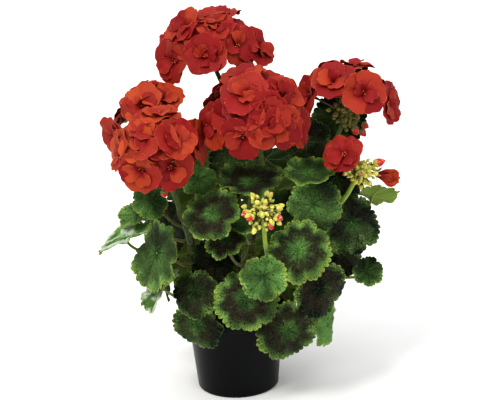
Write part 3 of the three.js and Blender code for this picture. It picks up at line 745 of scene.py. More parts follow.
LEAVES = [
    # front, from the middle down
    ("front", 0.78, (66, -98, 183), 36, (-80, 18), 0.1, 0),
    ("front", 0.3, (12, -97, 133), 36, (-95, 10), -0.1, 0),
    ("front", 0.86, (31, -121, 165), 26, (-95, 18), 0.15, 0),
    ("right", 0.81, (84, -67, 220), 32, (-73, 22), 0.12, 0),
    ("right", 0.9, (81, -50, 247), 28, (-82, 70), 0.25, 0),
    ("centre", 0.8, (23, -60, 244), 36, (-90, 74), 0.25, 0),
    ("left", 0.85, (-17, -91, 222), 32, (-113, 49), 0.1, 0),
    ("front", 1.0, (14, -87, 212), 19, (-96, 59), 0.1, 0),
    ("front", 0.73, (-5, -87, 193), 23, (-107, 61), -0.1, 0),
    # left side and round the pot's rim
    ("left", 0.6, (-76, -66, 175), 42, (-149, 19), 0.05, 0),
    ("left", 0.31, (-72, -64, 136), 30, (-179, 49), 0, 0.1),
    ("left", 0.28, (-39, -74, 134), 29, (-118, 21), -0.1, 0),
    ("front", 0.12, (-39, -70, 95), 30, (-112, -5), -0.15, 0),
    ("front", 0.34, (53, -72, 88), 37, (-76, 0), -0.15, 0),
    ("right", 0.38, (89, -59, 127), 34, (-62, 7), -0.1, 0),
    ("right", 0.34, (97, -37, 76), 25, (-33, -3), 0, -0.2),
    # right side
    ("right", 0.7, (126, -23, 185), 36, (-66, 20), 0, -0.35),
    ("right", 0.5, (142, 1, 120), 19, (-80, 43), 0, 0.3),
    ("right", 0.8, (151, 23, 198), 31, (80, 61), 0, 0.2),
    ("right", 1.0, (116, 29, 281), 33, (-97, 35), 0.1, 0),
    ("centre", 0.6, (48, -53, 206), 32, (-98, 32), 0.1, 0),
    ("centre", 0.95, (4, 0, 244), 28, (-101, 14), 0.15, 0),
    ("left", 0.95, (-31, -55, 248), 21, (-72, 48), 0.1, 0),
    # left side, high
    ("left", 0.67, (-112, -9, 173), 33, (-179, 71), 0, 0.12),
    ("left", 0.92, (-81, -20, 216), 21, (-89, 5), 0, 0.1),
    ("left", 0.78, (-100, 13, 191), 21, (-105, 68), 0.1, 0),
    ("right", 0.9, (114, 7, 227), 31, (-104, 10), 0.1, 0),
    ("centre", 1.0, (82, -5, 268), 28, (-103, 21), 0.1, 0),
    # back
    ("back", 0.9, (-31, 55, 246), 34, (110, 26), 0.1, 0),
    ("back", 0.95, (7, 59, 258), 34, (90, 44), 0.15, 0),
    ("centre", 0.85, (39, 34, 242), 32, (70, 40), 0.1, 0),
    ("back", 0.65, (-69, 50, 162), 40, (-136, 10), 0.1, 0),
    ("back", 0.83, (-28, 97, 191), 48, (95, 31), -0.1, 0),
    ("back", 0.6, (41, 83, 189), 40, (117, 28), 0.1, 0),
    ("right", 0.61, (115, 24, 140), 34, (-57, 27), -0.1, 0),
    ("back", 0.32, (-54, 74, 117), 35, (138, -2), -0.1, 0),
    ("back", 0.4, (15, 98, 122), 41, (90, 12), -0.1, 0),
    ("back", 0.12, (59, 40, 114), 43, (63, 0), -0.1, 0),
    ("left", 0.2, (-74, 10, 128), 34, (-177, 3), -0.1, 0),
    # inside, behind the front leaves
    ("front", 0.4, (-16, -44, 156), 29, (-91, 23), 0.1, 0),
]

LEAF = Values(
    thickness=0.7, edge_thickness=0.35, large_radius=34, lobes=7, lobes_when_large=9,
    sinus=math.radians(0.4), notch=0.12, base=0.22, fold_round=0.08, hang=0.9,
    teeth=4, tooth=0.06, uneven=0.4, ripple=0.07, droop=0.12, pleat=0.07,
    sunk_vein=0.015, vein_width=0.03, crimp=0.05, fine_crimp=0.032, slow_wave=0.08,
    inner_steps=8, outer_steps=24,
)
PETIOLE = Values(
    sides=10, steps=22, shares=(0, 0.1, 0.9, 1), radii=(2.3, 1.7, 1.4, 1.7), bend=0.3, sunk=1.5, below=0.2,
)
INNER_REACH = np.array([0.04, 0.1, 0.18, 0.28, 0.39, 0.5, 0.61, 0.71, 0.8])
OUTER_REACH = np.array([0.88, 0.945, 1.0])

# How brightly each leaf is painted, partly its own green and partly painted light and shade, for leaves deep
# in the bush are painted dark as in shade; then how dark its zone, or below zero how strong a painted glare,
# by leaf number
LEAF_LIGHT_AND_ZONES = {
    1: (0.7, 0.9), 2: (0.6, 0.95), 3: (0.62, 0.15), 4: (0.4, 0.4), 5: (0.65, 0.5), 6: (0.5, 0.95),
    7: (0.5, 0.95), 8: (0.5, 0.3), 9: (0.45, 0.95), 10: (0.5, 0.5), 11: (0.95, -0.6), 12: (0.25, 0.8),
    13: (0.3, 0.7), 14: (0.4, 0.9), 15: (0.05, 0.9), 16: (0.8, 0.1), 17: (0.1, 0.5), 18: (0.45, 0.4),
    19: (0.75, 0.0), 20: (0.15, 0.5), 21: (0.5, 0.2), 22: (0.2, 0.6), 23: (0.65, 0.0), 24: (1.0, -0.7),
    25: (0.55, 0.1), 26: (0.6, 0.1), 27: (0.1, 0.6), 28: (0.15, 0.7), 31: (0.05, 0.8), 32: (0.05, 0.8),
    35: (0.05, 0.8), 39: (0.05, 0.8), 40: (0.05, 0.8),
}


def wave(cycles, turn, seed):
    """A wave round a leaf, which starts anywhere."""
    return np.sin(TURN * (cycles * turn + draw(seed)))


def leaf_outline(lobes, seed, turn, reach):
    """The distance to the edge: scallops on a kidney shape, and small teeth near the edge itself."""
    from_tip = np.abs(turn - 0.5) * 2
    uneven = 1 + LEAF.uneven * wave(2.6, turn, seed + 11)
    scallop = (1 - np.abs(np.sin(np.pi * lobes * turn)) ** 0.6) * uneven
    tooth = (1 - np.abs(np.sin(np.pi * lobes * LEAF.teeth * turn)) ** 0.8) * (2 - uneven)
    kidney = (1 - LEAF.base * from_tip ** 2.2) * (1 - LEAF.notch * scallop)
    return kidney * (1 - LEAF.tooth * tooth * reach ** 8)


def leaf_height(cup, fold, seed, along, across):
    """The model's own bend of a leaf, over its plane, as a share of its radius."""
    reach, turn = np.hypot(along, across), np.arctan2(across, along) / TURN
    bend = cup * reach ** 2 + fold * (np.hypot(across, LEAF.fold_round) - LEAF.fold_round)
    ripple = LEAF.ripple * reach ** 2 * wave(3, turn, seed)
    return bend + ripple - LEAF.droop * np.maximum(along, 0) ** 2


def leaf_relief(lobes, seed, turn, reach):
    """What the model leaves out: pleats between the veins, sunk veins and a crimped edge."""
    off = np.abs((turn * lobes) % 1 - 0.5)
    pleats = LEAF.pleat * reach * (1 - np.cos(TURN * off)) / 2
    sunk = LEAF.sunk_vein * np.exp(-(off * reach * LOBE_WIDTH / LEAF.vein_width) ** 2)
    crimp = LEAF.crimp * reach ** 5 * wave(lobes * 0.5, turn, seed + 3)
    fine_crimp = LEAF.fine_crimp * reach ** 6 * wave(lobes * 1.5, turn, seed + 5)
    return pleats - sunk + crimp + fine_crimp + LEAF.slow_wave * reach ** 2 * wave(2, turn, seed + 7)


def make_leaf(row, number):
    branch, height, place, radius, facing, cup, fold = row
    joint = np.array(place, float)
    foot, outward = stand_on(branch, height, joint)
    travel = joint - foot
    normal = heading(*facing)
    hanging = unit(travel) - LEAF.hang * UP
    tip = unit(hanging - np.dot(hanging, normal) * normal)
    side = np.cross(normal, tip)
    lobes = LEAF.lobes_when_large if radius > LEAF.large_radius else LEAF.lobes

    def surface(reach, turn):
        angle = (turn - 0.5) * 2 * (np.pi - LEAF.sinus)
        far = reach * leaf_outline(lobes, number, turn, reach)
        along, across = far * np.cos(angle), far * np.sin(angle)
        lift = leaf_height(cup, fold, number, along, across) + leaf_relief(lobes, number, turn, reach)
        return joint + radius * laid_out((tip, along), (side, across), (normal, lift))

    drawn_shades = (between(0.15, 0.6, number), between(0.5, 1, number + 40))
    shades = LEAF_LIGHT_AND_ZONES.get(number, drawn_shades)
    leaf = Piece(f"leaf_{number:02d}_fine", LEAF_UPPER, LEAF_UNDER, PETIOLE_SKIN)
    add_blade(leaf, surface, lobes, normal, shades)
    bend = np.linalg.norm(travel) * PETIOLE.bend
    start, end = foot - outward * PETIOLE.sunk, joint - normal * PETIOLE.below
    path = bezier(start, foot + outward * bend, joint - normal * bend, end, PETIOLE.steps)
    leaf.add_tube(path, tapered(PETIOLE), PETIOLE.sides, (shades[0] * 0.5, draw(number)), PETIOLE_SKIN)
    leaf.build("leaf", f"leaf_{number:02d}")


def add_blade(leaf, surface, lobes, normal, shades):
    """Both faces of a blade: a fan, the inner rings, a finer outer band, and the rim that joins them."""
    inner = np.linspace(0, 1, lobes * LEAF.inner_steps + 1)
    outer = np.linspace(0, 1, lobes * LEAF.outer_steps + 1)
    reach = np.concatenate([[0], np.repeat(INNER_REACH, len(inner)), np.repeat(OUTER_REACH, len(outer))])
    turn = np.concatenate([[0.5], np.tile(inner, len(INNER_REACH)), np.tile(outer, len(OUTER_REACH))])
    middle = surface(reach, turn)

    step = 1e-3
    down = surface(reach + step, turn) - surface(np.maximum(reach - step, 0), turn)
    across = surface(reach, turn + step) - surface(reach, turn - step)
    lean = np.cross(down, across)
    lean[0] = normal
    thickness = np.interp(reach, [0.7, 1], [LEAF.thickness, LEAF.edge_thickness])
    half = unit(lean) * (thickness / 2)[:, None]

    # each ring's first and last point, and triangles from the last inner ring to the first outer one
    rings = len(INNER_REACH)
    few, many = len(inner), len(outer)
    widths = np.repeat([few, many], [rings, len(OUTER_REACH)])
    ends = np.cumsum(widths)
    starts = ends - widths + 1
    share = LEAF.outer_steps // LEAF.inner_steps
    half_way = (share + 1) // 2
    joins = []
    for i in range(few - 1):
        near, far = starts[rings - 1] + i, starts[rings] + i * share
        joins += [(near if k < half_way else near + 1, far + k, far + k + 1) for k in range(share)]
        joins.append((near, far + half_way, near + 1))

    # the grid's rows run outwards and its columns the way that the turn grows
    fan = np.arange(few - 1)[:, None] * [0, 1, 1] + [0, 1, 2]
    inside, band = grid_faces(rings, few) + 1, grid_faces(len(OUTER_REACH), many) + starts[rings]
    upper = [fan, inside[:, ::-1], np.array(joins), band[:, ::-1]]
    loop = np.concatenate([[0], starts[:-1], np.arange(starts[-1], ends[-1]), ends[::-1]])
    where = np.stack([turn * lobes, reach], axis=-1)
    leaf.add_shell(middle, half, upper, loop, where, shades, LEAF_UPPER, LEAF_UNDER)


# Flower heads, as in the model: the hub, where the head looks and how far round that its flowers spread,
# how far out they open, the directions of those that show, the buds and their lengths, and the stalk's way

YOUNG = Values(bright=1.0, large_bud=4.7, stalk_shades=(0.0, 0.0))
GROWN = Values(bright=0.3, large_bud=3.9, stalk_shades=(0.85, 0.7))


def head_of(size=1, age=GROWN, buds=(), **values):
    return Values(size=size, age=age, buds=buds, **values)


HEADS = {
    "top": head_of(
        hub=(-12, 45, 346), looks=(60, 80), spread=88, reach=46, sunlit=0.15,
        shown=[(-98, 20), (-146, 11), (178, 14), (-50, 28), (-149, 54), (-12, 16), (-80, 62)],
        stalk=("centre", 0.98, [(12, 12, 250), (5, 26, 302)]),
    ),
    "far_left": head_of(
        hub=(-76, -3, 291), looks=(150, 60), spread=58, reach=33, sunlit=0.42,
        shown=[(-110, 50), (-41, 61), (-161, -7), (150, 12)],
        buds=[(-70, 8, 15), (-20, 5, 15)],
        stalk=("left", 0.98, [(-56, -14, 225), (-67, -10, 262)]),
    ),
    "left": head_of(
        hub=(-68, -70, 283), looks=(-95, 20), spread=95, reach=32, sunlit=0.5,
        shown=[(-65, -17), (-119, -18), (-168, 6), (-118, 30), (-54, 29), (1, 12)],
        buds=[(-60, -78, 44)],
        stalk=("left", 0.8, [(-47, -50, 200), (-56, -57, 236)]),
    ),
    "middle": head_of(
        hub=(31, -48, 306), looks=(100, 18), spread=46, reach=42, sunlit=0.15,
        shown=[
            (-110, -8), (-108, 44), (-60, 2), (-19, -9), (-155, -2), (-46, 34),
            (-75, 22), (-162, 76), (110, 42),
        ],
        stalk=("front", 0.97, [(34, -18, 232), (34, -14, 266)]),
    ),
    "right": head_of(
        hub=(124, 1, 295), looks=(75, 66), spread=58, reach=44, sunlit=0.22,
        shown=[(-162, 32), (-123, 57), (-64, 39), (-17, 17)],
        buds=[
            (-178, 18, 22), (174, 45, 18), (-149, 5, 16), (-60, -34, 18), (-30, -42, 30),
            (-100, -45, 16), (-62, -38, 27), (-22, -26, 27),
        ],
        stalk=("right", 0.96, [(94, -2, 235), (114, 2, 270)]),
    ),
    "opening": head_of(
        hub=(135, -39, 244), looks=(-128, 36), spread=0, reach=38, sunlit=0.12,
        size=0.9, age=YOUNG,
        shown=[(-127, 40)],
        buds=[
            (-40, 4, 22), (-20, 30, 30), (-62, -26, 22), (-115, -22, 20), (-154, 4, 22),
            (-90, 12, 18), (-74, 50, 19), (40, 10, 20), (120, 20, 20),
        ],
        stalk=("right", 0.88, [(110, -34, 206)]),
    ),
}
BUD_HEAD = Values(
    hub=(33, -110, 228), looks=(-90, 55), spread=112, reach=(21, 26), buds=13, size=2.6, age=YOUNG,
    ripe=[(-170, 0), (-138, -5), (-28, -12), (-62, -34)], ripe_size=3.7,
    stalk=("front", 0.7, [(36, -84, 162), (34, -104, 196)]),
)
UNFOLDING = Values(
    toward=(-8, -10), away=15, radius=24, petals=8, first=0.3, spread=0.5, length=(0.9, 1.06),
    tilt=1.22, loose=(-0.14, 0.06), inner_tilt=0.2, sun=(0.5, 1.0),
)
SPACING = Values(angle=math.radians(37), reach=45)  # between neighbours on a head with this reach
TRIES = 120  # directions that are tried for the flowers which the photographed side doesn't show
STAGGER = 1.2  # how much further out each flower of three opens than the one before
SUNWARD = heading(-150, 50)  # flowers on this side of a head get the most painted sunlit orange
TOWARDS_LIGHT = heading(-95, 15)

FLOWER = Values(
    radius=25, petals=5, stamens=5,
    sway=0.2,  # how far a flower turns away from the hub's own direction
    lean=0.26,  # how far it turns towards the light
    sunk=3,  # how much nearer to the hub it opens, for its petals stand up round it
    cup=(-0.02, 0.26),  # how much its petals rise round its eye: from nearly flat to a bowl
    fade=0.45,  # how far the painted sunlit orange of its petals differs
    all_round=0.35,  # the painted sunlit orange that flowers on every side of a head get
)
PETAL_FORM = Values(
    thickness=0.45, funnel=0.3, curl=0.1, blunt=0.36, notch=0.05, teeth=0.022,
    overlap=0.06, frill=0.028, wave=(0.02, 0.09), cup=(-0.16, 0.26), sway=(-0.1, 0.1),
)

# The outer petals, and two or three smaller ones that stand up in a flower and hide a part of its eye.
# The seeds are a factor, the step from petal to petal and the start
OUTER = Values(
    seeds=(17, 3.7, 0), first=0.5, loose=0.12, length=(0.9, 1.08), tilt=(-0.08, 0.12), spread=0.98, rise=0.0,
)
INNER = Values(
    seeds=(13, 5.3, 100), first=0.2, loose=0.4, length=(0.6, 0.88), tilt=(0.02, 0.3), spread=0.76, rise=0.045,
)
FINE_GRID = (np.array([0.06, 0.18, 0.34, 0.5, 0.66, 0.8, 0.91, 1.0]), np.linspace(-1, 1, 15))
COARSE_GRID = (np.array([0.06, 0.3, 0.6, 0.85, 1.0]), np.linspace(-1, 1, 9))

# Smaller flowers that fill the gaps from below: how far they keep from the others and how near those
# have to be, in spacings, and how much nearer to the hub they sit
UNDERNEATH = Values(tries=140, clear=0.48, near=1.0, neighbours=3, lower=5, size=0.95, sunlit=0.1)

STAMEN = Values(
    length=(4, 6.5), shares=(0, 0.5, 0.85, 0.93, 1), radii=(0.28, 0.24, 0.24, 0.6, 0.35), sides=5,
    away=0.4, splay=1.8,
)
CALYX = Values(sepals=5, length=9, width=1.5, rise=7.2, sunk=0.8, thickness=0.35)
CALYX_GRID = (np.linspace(0, 1, 5), np.linspace(-1, 1, 3))
KNOB = Values(radius=4.5, bracts=7, bract=6.5, bract_away=3, bract_lean=0.4)
KNOB_SHARES = np.array([-4.6, -4, -2.6, -0.6, 1.6, 3.2, 4])
KNOB_RADII = (1.6, 2.6, 3.8, 4.3, 3.9, 2.4, 0.6)
PEDUNCLE = Values(sides=14, steps=48, shares=(0, 0.2, 1), radii=(2.9, 2.5, 2.3), sunk=1.5, straight=4)
PEDICEL = Values(
    sides=8, steps=10, shares=(0, 0.8, 0.93, 1), radii=(0.85, 0.8, 1.5, 1.9), bow=2, start=2, below=0.4,
)
BUD = Values(droop=0.25, length=(2.2, 2.8), sides=10, ridges=(1.06, 0.9), small=2.5, green=(0, 0.5))
BUD_STALK = Values(sides=6, steps=7, shares=(0, 1), radii=(0.75, 0.6))
BUD_SHARES = np.array([0, 0.06, 0.2, 0.38, 0.56, 0.74, 0.88, 0.96, 1.0])
BUD_SWELL = np.array([0.35, 0.72, 0.96, 1.0, 0.9, 0.68, 0.4, 0.2, 0.05])
LONG_BUD = 25  # past this length a bud is large and ripe
RIPE = 0.95

# Clusters of small buds: round a bud's own direction, round the hub, and between those of the bud head
LOOSE = 0.25  # how far each leans out of its place
BESIDE_BUD = Values(count=8, step=45, turn=31, rise=20, away=0.5, longest=20, shortest=0.4, size=(1.5, 2.4))
ROUND_HUB = Values(cap=((-85, 5), 100, 48), reach=(9, 19), size=(1.7, 2.5))
BETWEEN_BUDS = Values(count=90, reach=(7, 21), size=(1.5, 2.4))


def cap_directions(looks, spread, count):
    """Even directions over a cap of a sphere, from the middle of the cap outwards."""
    axis = heading(*looks)
    side, top = frame_of(axis)
    directions = []
    for i in range(count):
        level = 1 - (i + 0.5) / count * (1 - math.cos(math.radians(spread)))
        away = math.sqrt(1 - level ** 2)
        directions.append(axis * level + away * turned((-side, top), i * GOLDEN_ANGLE))
    return directions


def angle_between(one, other):
    return math.acos(np.clip(np.dot(one, other), -1, 1))


def spacing_of(head):
    return SPACING.angle * SPACING.reach / head.reach


def flower_directions(head):
    directions = [heading(*way) for way in head.shown]
    for direction in cap_directions(head.looks, head.spread, TRIES):
        if all(angle_between(direction, other) > spacing_of(head) for other in directions):
            directions.append(direction)
    return directions


def gap_directions(head, directions):
    """Directions from the hub at which three or more flowers of the head leave a gap between them."""
    spacing = spacing_of(head)
    gaps = []
    for way in cap_directions((0, 89), 180, UNDERNEATH.tries):
        angles = [angle_between(way, other) / spacing for other in directions]
        around = sum(angle < UNDERNEATH.near for angle in angles)
        if min(angles) > UNDERNEATH.clear and around >= UNDERNEATH.neighbours:
            if all(angle_between(way, gap) > UNDERNEATH.clear * spacing for gap in gaps):
                gaps.append(way)
    return gaps


def flower_reach(head, i):
    """How far from the hub the flower with this number opens."""
    return head.reach - FLOWER.sunk + STAGGER * (i % 3)


def petal(piece, flower, bearing, seed, length, spread, tilt, rise, shades, grid=FINE_GRID):
    """One petal: a wedge with a broad round end, waved along its edge and laid over its neighbour."""
    form = PETAL_FORM
    middle = turned(frame_of(flower.axis), bearing)
    across = np.cross(flower.axis, middle)
    waved, phase = between(*form.wave, seed), TURN * draw(seed + 1)
    cup, sway = between(*form.cup, seed + 2), between(*form.sway, seed + 3)

    def surface(reach, lean):
        angle = lean * spread
        edge = 1 - form.blunt * np.abs(lean) ** 3.2 - form.notch * np.exp(-(lean / 0.16) ** 2)
        teeth = 1 + form.teeth * reach ** 6 * np.sin(lean * 23 + phase) * np.sin(lean * 9 - phase)
        share = reach * length * edge * teeth
        out, over = share * np.cos(angle), share * np.sin(angle) + sway * length * reach ** 2
        lift = form.funnel * np.sin(np.minimum(share * 2, 1) * np.pi / 2) - form.curl * share ** 2
        lift += form.overlap * lean * np.sin(np.pi * np.minimum(reach * 1.2, 1))
        lift += cup * share ** 2 * lean ** 2 + waved * reach ** 3 * np.sin(lean * 4.5 + phase)
        lift += form.frill * reach ** 5 * np.sin(lean * 11 - 2 * phase)
        raised = np.clip(reach / 0.3, 0, 1)
        lift += rise * raised ** 2 * (3 - 2 * raised)
        raised_out = out * math.cos(tilt) - lift * math.sin(tilt)
        raised_up = out * math.sin(tilt) + lift * math.cos(tilt)
        way = laid_out((middle, raised_out), (across, over), (flower.axis, raised_up))
        return flower.centre + flower.radius * way

    piece.add_sheet(surface, grid, form.thickness, shades, PETAL)


def petal_ring(piece, flower, ring, count, grid=FINE_GRID):
    """Petals all round a flower. The two shades are a petal's redness and how much painted sunlit orange it
    gets.
    """
    factor, step, start = ring.seeds
    cup = between(*FLOWER.cup, flower.seed + 4.3)
    for k in range(count):
        key = flower.seed * factor + k * step + start
        bearing = flower.roll + TURN * (k + ring.first) / count + between(-ring.loose, ring.loose, key)
        sunlit_share = np.clip(flower.sun + between(-FLOWER.fade, FLOWER.fade, key + 4), 0, 1)
        length, tilt = between(*ring.length, key + 1), cup + between(*ring.tilt, key + 3)
        shades = (draw(key + 2), sunlit_share)
        petal(piece, flower, bearing, key, length, ring.spread, tilt, ring.rise, shades, grid)


def stamens(piece, flower):
    for i in range(FLOWER.stamens):
        out = turned(frame_of(flower.axis), GOLDEN_ANGLE * i + flower.seed)
        length, t = between(*STAMEN.length, flower.seed + i), np.array(STAMEN.shares)[:, None]
        path = flower.centre + flower.axis * length * t + out * (STAMEN.away + STAMEN.splay * t * t)
        piece.add_tube(path, STAMEN.radii, STAMEN.sides, 0.5, STAMEN_SKIN)


def make_petals(name, head):
    petals = Piece(f"{name}_head_flowers", PETAL, STAMEN_SKIN)
    hub = np.array(head.hub, float)
    radius = FLOWER.radius * head.size
    directions = flower_directions(head)
    for i, direction in enumerate(directions):
        seed = head.reach + i * 1.37
        swayed = FLOWER.sway * drawn_heading(seed + 6, seed + 7)
        flower = Values(
            centre=hub + direction * flower_reach(head, i),
            axis=unit(direction + swayed + FLOWER.lean * TOWARDS_LIGHT),
            radius=radius,
            roll=TURN * draw(head.reach + i),
            seed=seed,
            sun=head.sunlit * (FLOWER.all_round + max(np.dot(direction, SUNWARD), 0)),
        )
        petal_ring(petals, flower, OUTER, FLOWER.petals)
        petal_ring(petals, flower, INNER, 2 + int(2 * draw(seed + 0.5)))
        stamens(petals, flower)
    for i, direction in enumerate(gap_directions(head, directions)):
        flower = Values(
            centre=hub + direction * (head.reach - UNDERNEATH.lower),
            axis=direction,
            radius=radius * UNDERNEATH.size,
            roll=TURN * draw(i),
            seed=i + 0.3,
            sun=UNDERNEATH.sunlit,
        )
        petal_ring(petals, flower, OUTER, FLOWER.petals, COARSE_GRID)
    petals.build("petal", f"{name}_head_petals", sharp=80)


def bud(piece, hub, direction, length, size, ripe, bright, seed):
    """A bud on its own short pedicel: five ridged sepals over a pointed egg, bent a little downwards."""
    sag = UP * BUD.droop * length
    root = hub + direction * KNOB.radius * 0.5
    tip = hub + direction * length - sag * 0.3
    way = unit(tip - root - sag * 0.5)
    body = size * between(*BUD.length, seed)
    start = tip - way * body
    middle = root + direction * length * 0.4
    path = bezier(root, middle, start - way * length * 0.15, start, BUD_STALK.steps)
    piece.add_tube(path, tapered(BUD_STALK), BUD_STALK.sides, (draw(seed), 0.4), PEDICEL_SKIN)
    path = start + way * body * BUD_SHARES[:, None]
    points, faces = tube(path, BUD_SWELL * size, BUD.sides)
    spine = np.repeat(path, BUD.sides, axis=0)
    ridges = np.resize(BUD.ridges, (len(spine), 1))
    points[:-2] = spine + (points[:-2] - spine) * ridges
    shades = (bright * between(0.6, 1, seed + 1), ripe)
    piece.add(points, faces, tube_shares(BUD_SHARES, BUD.sides), shades, BUD_SKIN)


def bud_cluster(piece, hub, directions, reach, size, bright):
    """Many small green buds crowded round a hub."""
    for i, direction in enumerate(directions):
        way = unit(direction + LOOSE * drawn_heading(i + 0.2, i + 0.7))
        bud(piece, hub, way, between(*reach, i + 60), between(*size, i + 30), 0, bright, i + 200)


def calyx(piece, centre, axis, seed):
    """Five narrow green sepals that hold a flower from behind."""
    for k in range(CALYX.sepals):
        out = turned(frame_of(axis), TURN * k / CALYX.sepals + seed)
        across = np.cross(axis, out)

        def surface(a, b):
            width = CALYX.width * np.sin(np.pi * (0.18 + 0.8 * a)) + 0.1
            up = CALYX.rise * a ** 1.3 - CALYX.sunk
            return centre + laid_out((out, a * CALYX.length), (axis, up), (across, width * b))

        piece.add_sheet(surface, CALYX_GRID, CALYX.thickness, (draw(seed + k), 0.1), BUD_SKIN, high=0.5)


def peduncle(piece, head):
    """A flower stalk, with the knob and the small bracts at its top. A young head's is a fresher green."""
    hub = np.array(head.hub, float)
    shades = head.age.stalk_shades
    branch, height, by = head.stalk
    foot, outward = stand_on(branch, height, by[0])
    curve = Curve([foot - outward * PEDUNCLE.sunk, foot + outward * PEDUNCLE.straight, *by, hub])
    path, tangent = curve.at(np.linspace(0, 1, PEDUNCLE.steps)), curve.tangent(1)
    piece.add_tube(path, tapered(PEDUNCLE), PEDUNCLE.sides, shades, PEDUNCLE_SKIN)
    piece.add_tube(hub + tangent * KNOB_SHARES[:, None], KNOB_RADII, PEDUNCLE.sides, shades, PEDUNCLE_SKIN)
    for k in range(KNOB.bracts):
        out = turned(frame_of(tangent), TURN * k / KNOB.bracts)
        base = hub + (out - tangent) * KNOB.bract_away
        stipule(piece, base, out, unit(out - tangent * KNOB.bract_lean), KNOB.bract, k)


def make_stalks(name, head):
    stalks = Piece(f"{name}_head_stems", PEDUNCLE_SKIN, PEDICEL_SKIN, BUD_SKIN, PETIOLE_SKIN)
    hub = np.array(head.hub, float)
    peduncle(stalks, head)
    for i, direction in enumerate(flower_directions(head)):
        way = direction * flower_reach(head, i)
        bow = frame_of(direction)[0] * between(-PEDICEL.bow, PEDICEL.bow, i + 5)
        start, end = direction * PEDICEL.start, way - direction * PEDICEL.below
        path = bezier(start, way * 0.3 + bow, way * 0.7 + bow, end, PEDICEL.steps)
        stalks.add_tube(hub + path, tapered(PEDICEL), PEDICEL.sides, (draw(i), 0.7), PEDICEL_SKIN)
        calyx(stalks, hub + way, direction, i)
    beside, bright = BESIDE_BUD, head.age.bright
    for i, (azimuth, elevation, length) in enumerate(head.buds):
        direction = heading(azimuth, elevation)
        small = (BUD.small, between(*BUD.green, i + 9))
        size, ripe = (head.age.large_bud, RIPE) if length > LONG_BUD else small
        bud(stalks, hub, direction, length, size, ripe, bright, i)
        ways = [heading(beside.step * k + beside.turn * i, beside.rise) for k in range(beside.count)]
        around = [unit(direction + beside.away * way) for way in ways]
        reach = min(length, beside.longest)
        bud_cluster(stalks, hub, around, (reach * beside.shortest, reach), beside.size, bright)
    if head.buds:
        bud_cluster(stalks, hub, cap_directions(*ROUND_HUB.cap), ROUND_HUB.reach, ROUND_HUB.size, bright)
    stalks.build("stalk", f"{name}_head_stalks")


def make_bud_head():
    piece = Piece("bud_head_fine", PEDUNCLE_SKIN, PEDICEL_SKIN, BUD_SKIN, PETIOLE_SKIN)
    hub = np.array(BUD_HEAD.hub, float)
    peduncle(piece, BUD_HEAD)
    looks, spread, reach, bright = BUD_HEAD.looks, BUD_HEAD.spread, BUD_HEAD.reach, BUD_HEAD.age.bright
    for i, direction in enumerate(cap_directions(looks, spread, BUD_HEAD.buds)):
        bud(piece, hub, direction, between(*reach, i), BUD_HEAD.size, between(0, 0.25, i), bright, i)
    for i, way in enumerate(BUD_HEAD.ripe):
        bud(piece, hub, heading(*way), reach[0] + 1, BUD_HEAD.ripe_size, RIPE, bright, i + 20)
    small = cap_directions(looks, spread - 5, BETWEEN_BUDS.count)
    bud_cluster(piece, hub, small, BETWEEN_BUDS.reach, BETWEEN_BUDS.size, bright)
    piece.build("stalk", "bud_head")


def make_unfolding_flower():
    """A flower whose petals still stand round each other, in its calyx."""
    piece = Piece("unfolding_flower_fine", PETAL, BUD_SKIN)
    hub = np.array(HEADS["opening"].hub, float)
    axis = heading(*UNFOLDING.toward)
    flower = Values(centre=hub + axis * UNFOLDING.away, axis=axis, radius=UNFOLDING.radius)
    for k in range(UNFOLDING.petals):
        bearing = TURN * k / FLOWER.petals + UNFOLDING.first
        inner_tilt = UNFOLDING.inner_tilt if k >= FLOWER.petals else 0
        tilt = UNFOLDING.tilt + between(*UNFOLDING.loose, k + 40) + inner_tilt
        length = between(*UNFOLDING.length, k + 50)
        shades = (draw(k), between(*UNFOLDING.sun, k + 60))
        petal(piece, flower, bearing, k + 70, length, UNFOLDING.spread, tilt, 0.0, shades)
    calyx(piece, flower.centre, axis, 3)
    piece.build("petal", "unfolding_flower", sharp=80)


# Floor, light and camera

FLOOR_HALF = 8.0
LIGHTS = {
    "key": {"azimuth": -128, "elevation": 52, "strength": 1.1, "angle": 14, "colour": (1.0, 0.97, 0.92)},
    "fill": {"azimuth": -72, "elevation": 10, "strength": 0.85, "angle": 60, "colour": (0.97, 0.98, 1.0)},
}
GLOW = Values(horizon=0.3, zenith=1.1)
CAMERA = Values(
    place=(21, -1500, 668), pitch=17.1, roll=2.5, focal_px=1493, picture_px=500,
    sensor=36, sees_to=50,
)


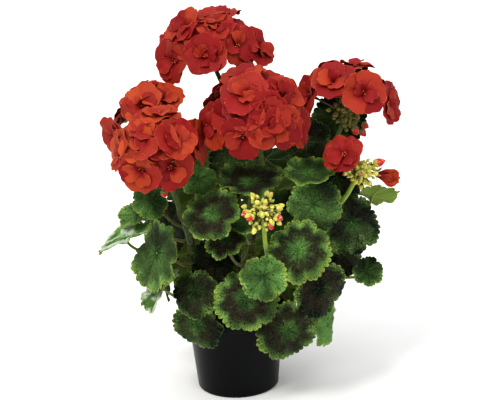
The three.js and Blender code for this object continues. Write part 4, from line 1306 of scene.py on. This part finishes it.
def make_floor():
    mesh = bpy.data.meshes.new("floor")
    corners = [(x * FLOOR_HALF, y * FLOOR_HALF, 0) for x, y in ((-1, -1), (1, -1), (1, 1), (-1, 1))]
    mesh.from_pydata(corners, [], [(0, 1, 2, 3)])
    mesh.materials.append(Looks("floor", Roughness=0.9, Specular_IOR_Level=0.1, Base_Color=FLOOR_INK).owner)
    put_in_scene("floor", mesh)


def matrix(x, y, z, place):
    rows = [[x[k], y[k], z[k], place[k]] for k in range(3)]
    return Matrix(rows + [[0, 0, 0, 1]])


def sun(name, azimuth, elevation, strength, angle, colour):
    """A broad soft light from far away, which shines from that azimuth and elevation."""
    light = bpy.data.lights.new(name, "SUN")
    light.energy = strength
    light.angle = math.radians(angle)
    light.color = colour
    back = heading(azimuth, elevation)
    put_in_scene(name, light).matrix_world = matrix(*frame_of(back), back, back * 2)


def make_lights():
    """A key from the upper left, a weak fill, and an overhead glow that fades towards the horizon."""
    for name, values in LIGHTS.items():
        sun(name, **values)
    sky = Looks("studio", bpy.data.worlds, "Background", Color=(1.0, 1.0, 1.0, 1.0))
    place = sky.node("TexCoord").outputs["Generated"]
    height = sky.node("SeparateXYZ", {0: place}).outputs["Z"]
    bpy.context.scene.world = sky.set(Strength=sky.step(height, 0.0, 1.0, GLOW.horizon, GLOW.zenith))


def make_camera():
    pitch, roll = math.radians(CAMERA.pitch), math.radians(CAMERA.roll)
    upward = np.array([0, math.sin(pitch), math.cos(pitch)])
    x, y = turned((RIGHT, -upward), roll), turned((upward, RIGHT), roll)
    camera = bpy.data.cameras.new("camera")
    camera.sensor_width = CAMERA.sensor
    camera.lens = CAMERA.sensor * CAMERA.focal_px / CAMERA.picture_px
    camera.clip_end = CAMERA.sees_to
    viewer = put_in_scene("camera", camera)
    viewer.matrix_world = matrix(x, y, np.cross(RIGHT, upward), np.array(CAMERA.place) * MM)
    bpy.context.scene.camera = viewer


make_camera()
make_lights()
make_floor()
make_pot()
make_soil()
make_stem()
for index, leaf_row in enumerate(LEAVES):
    make_leaf(leaf_row, index + 1)
for head_name, flower_head in HEADS.items():
    make_petals(head_name, flower_head)
    make_stalks(head_name, flower_head)
make_bud_head()
make_unfolding_flower()

bpy.context.scene.view_settings.view_transform = "Standard"
bpy.context.scene.view_settings.look = "High Contrast"
